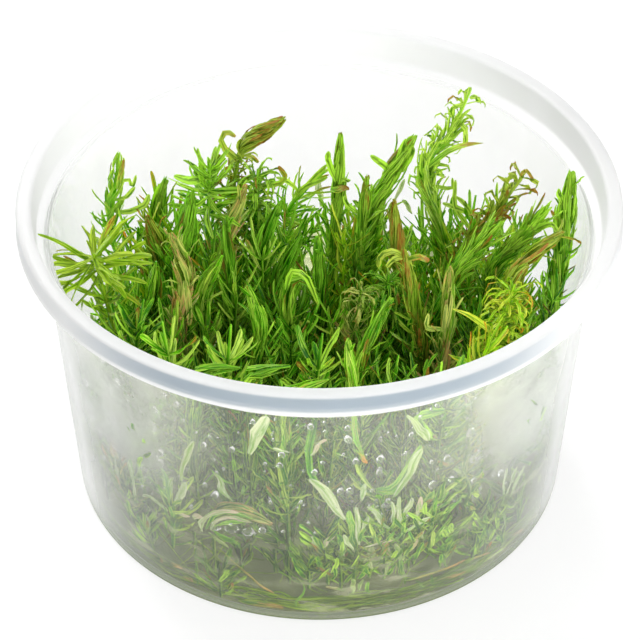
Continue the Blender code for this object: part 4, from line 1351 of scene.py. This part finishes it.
def build_drops():
    """Condensation drops that sit flat against the inner wall."""
    rng = random.Random(DROP_SEED)
    bm = bmesh.new()
    for _ in range(DROP_COUNT):
        turn = math.radians(rng.uniform(*DROP_TURNS))
        height = rng.uniform(*DROP_HEIGHTS) * MM
        size = min(0.6, 0.10 + rng.expovariate(6.0)) * MM
        add_drop(bm, turn, height, size, size * rng.uniform(1.0, 1.6), rng.uniform(-0.3, 0.3))
    for turn, height, size, tall in LARGE_DROPS:
        lean = rng.uniform(-0.4, 0.4)
        add_drop(bm, math.radians(turn), height * MM, size * MM, tall * MM, lean)
    mesh = mesh_from(bm, "condensation_drops")
    mesh.shade_smooth()
    mesh.materials.append(clear_material("water_drop", WATER_CLEAR, WATER_IOR, 0.0, 300.0))
    drops = new_object("condensation_drops", mesh)
    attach(drops, "root")


def build_roots(material):
    """Thin olive roots that run round the bottom's edge and hang in the gel."""
    rng = random.Random(ROOT_SEED)
    growth = Growth()
    for _ in range(EDGE_ROOTS):
        turn = rng.uniform(0, 2 * math.pi)
        height = rng.uniform(1.5, 4.5) * MM
        sweep = rng.uniform(0.15, 0.6)
        places = np.linspace(0, 1, EDGE_ROOT_STEPS)
        turns = turn + sweep * places
        heights = height + 0.5 * MM * np.sin(places * rng.uniform(4, 12) + rng.uniform(0, 6))
        inset = rng.uniform(0.5, 2.0) * MM + 0.3 * MM * np.sin(places * rng.uniform(3, 9))
        edge = np.minimum(inner_radius(heights), EDGE_RADIUS + heights * ROOT_RADIUS_GAIN)
        radii = edge - inset
        heights = np.maximum(heights, LOWEST_IN_GEL)
        points = np.stack([radii * np.cos(turns), radii * np.sin(turns), heights], -1)
        thickness = np.full(len(places), rng.uniform(0.08, 0.24) * MM)
        tone = (rng.random(), 0.6, rng.choice(ROOT_DRYNESS))
        add_tube(growth, points, thickness, tone, ROOT_SIDES)
    for x, y in (shoot[3] for shoot in SHOOTS):
        for _ in range(FOOT_ROOTS):
            start = np.array([x, y, rng.uniform(8, 15)]) * MM
            turn = rng.uniform(0, 2 * math.pi)
            length = rng.uniform(4, 11) * MM
            places = np.linspace(0, 1, FOOT_ROOT_STEPS)[:, None]
            out = np.array([math.cos(turn), math.sin(turn), 0.0])
            sideways = np.array([-out[1], out[0], 0.0])
            wiggle = np.sin(places * rng.uniform(4, 9)) * 0.8 * MM * sideways
            points = start + out * length * places ** 1.4 + wiggle
            points[:, 2] -= (start[2] - 1.6 * MM) * places[:, 0] * rng.uniform(0.4, 1.0)
            radius = np.hypot(points[:, 0], points[:, 1])
            edge = FOOT_ROOT_RADIUS + points[:, 2] * ROOT_RADIUS_GAIN
            limit = np.minimum(inner_radius(points[:, 2]), edge) - 0.6 * MM
            points[:, :2] *= np.minimum(1.0, limit / radius)[:, None]
            thickness = np.linspace(0.16, 0.05, FOOT_ROOT_STEPS) * MM
            tone = (rng.random(), 0.5, rng.choice(ROOT_DRYNESS))
            add_tube(growth, points, thickness, tone, ROOT_SIDES)
    roots = growth.build("gel_roots", material)
    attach(roots, "root")


def build_shoots():
    pattern = leaf_pattern()
    materials = {
        look: leaf_material("leaf_" + look, values[:4], pattern) for look, values in LOOKS.items()
    }
    for index, shoot in enumerate(SHOOTS):
        grow_shoot(index, shoot, materials)
    build_filler(materials)
    build_wall_sprigs(materials)
    build_wall_leaves(materials)
    build_roots(materials["olive"])


def build_camera():
    camera = new_object("camera", bpy.data.cameras.new("camera"))
    camera.location = CAMERA_PLACE
    camera.rotation_euler = (math.radians(90) - CAMERA_DOWN, 0.0, 0.0)
    camera.data.lens = CAMERA_LENS
    camera.data.sensor_width = SENSOR_WIDTH
    camera.data.clip_start = CAMERA_NEAR
    bpy.context.scene.camera = camera


def build_floor():
    """A plain white floor that the cup stands on, faintly lit from below as a light table is."""
    bm = bmesh.new()
    bmesh.ops.create_grid(bm, x_segments=1, y_segments=1, size=FLOOR_SIZE)
    mesh = mesh_from(bm, "floor")
    material, tree, shader = new_material("floor_white")
    give(tree, shader, {
        "Base Color": FLOOR_WHITE, "Roughness": FLOOR_ROUGHNESS,
        "Emission Color": (1.0, 1.0, 1.0), "Emission Strength": FLOOR_GLOW,
    })
    mesh.materials.append(material)
    floor = new_object("floor", mesh)
    floor.location.z = -FLOOR_DROP


def build_light():
    """Even white surroundings and two large soft lamps, as in a light tent."""
    world = bpy.data.worlds.new("white_tent")
    world.use_nodes = True
    backdrop = world.node_tree.nodes["Background"]
    give(world.node_tree, backdrop, {"Color": (1.0, 1.0, 1.0), "Strength": TENT_LIGHT})
    bpy.context.scene.world = world
    for name, (place, power) in LAMPS.items():
        light = bpy.data.lights.new(name, "AREA")
        light.size = LAMP_SIZE
        light.energy = power
        lamp = new_object(name, light)
        lamp.location = place
        lamp.rotation_euler = (-Vector(place)).to_track_quat("-Z", "Y").to_euler()
    bpy.context.scene.view_settings.view_transform = "Standard"


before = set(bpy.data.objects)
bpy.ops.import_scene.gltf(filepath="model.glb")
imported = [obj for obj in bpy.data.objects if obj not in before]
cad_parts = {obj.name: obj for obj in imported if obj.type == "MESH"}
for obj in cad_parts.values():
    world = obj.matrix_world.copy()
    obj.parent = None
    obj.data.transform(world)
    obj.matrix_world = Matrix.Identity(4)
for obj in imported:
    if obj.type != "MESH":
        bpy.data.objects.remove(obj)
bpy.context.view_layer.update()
build_camera()
build_light()
build_floor()
build_cup()
build_gel()
build_fog()
build_drops()
build_shoots()
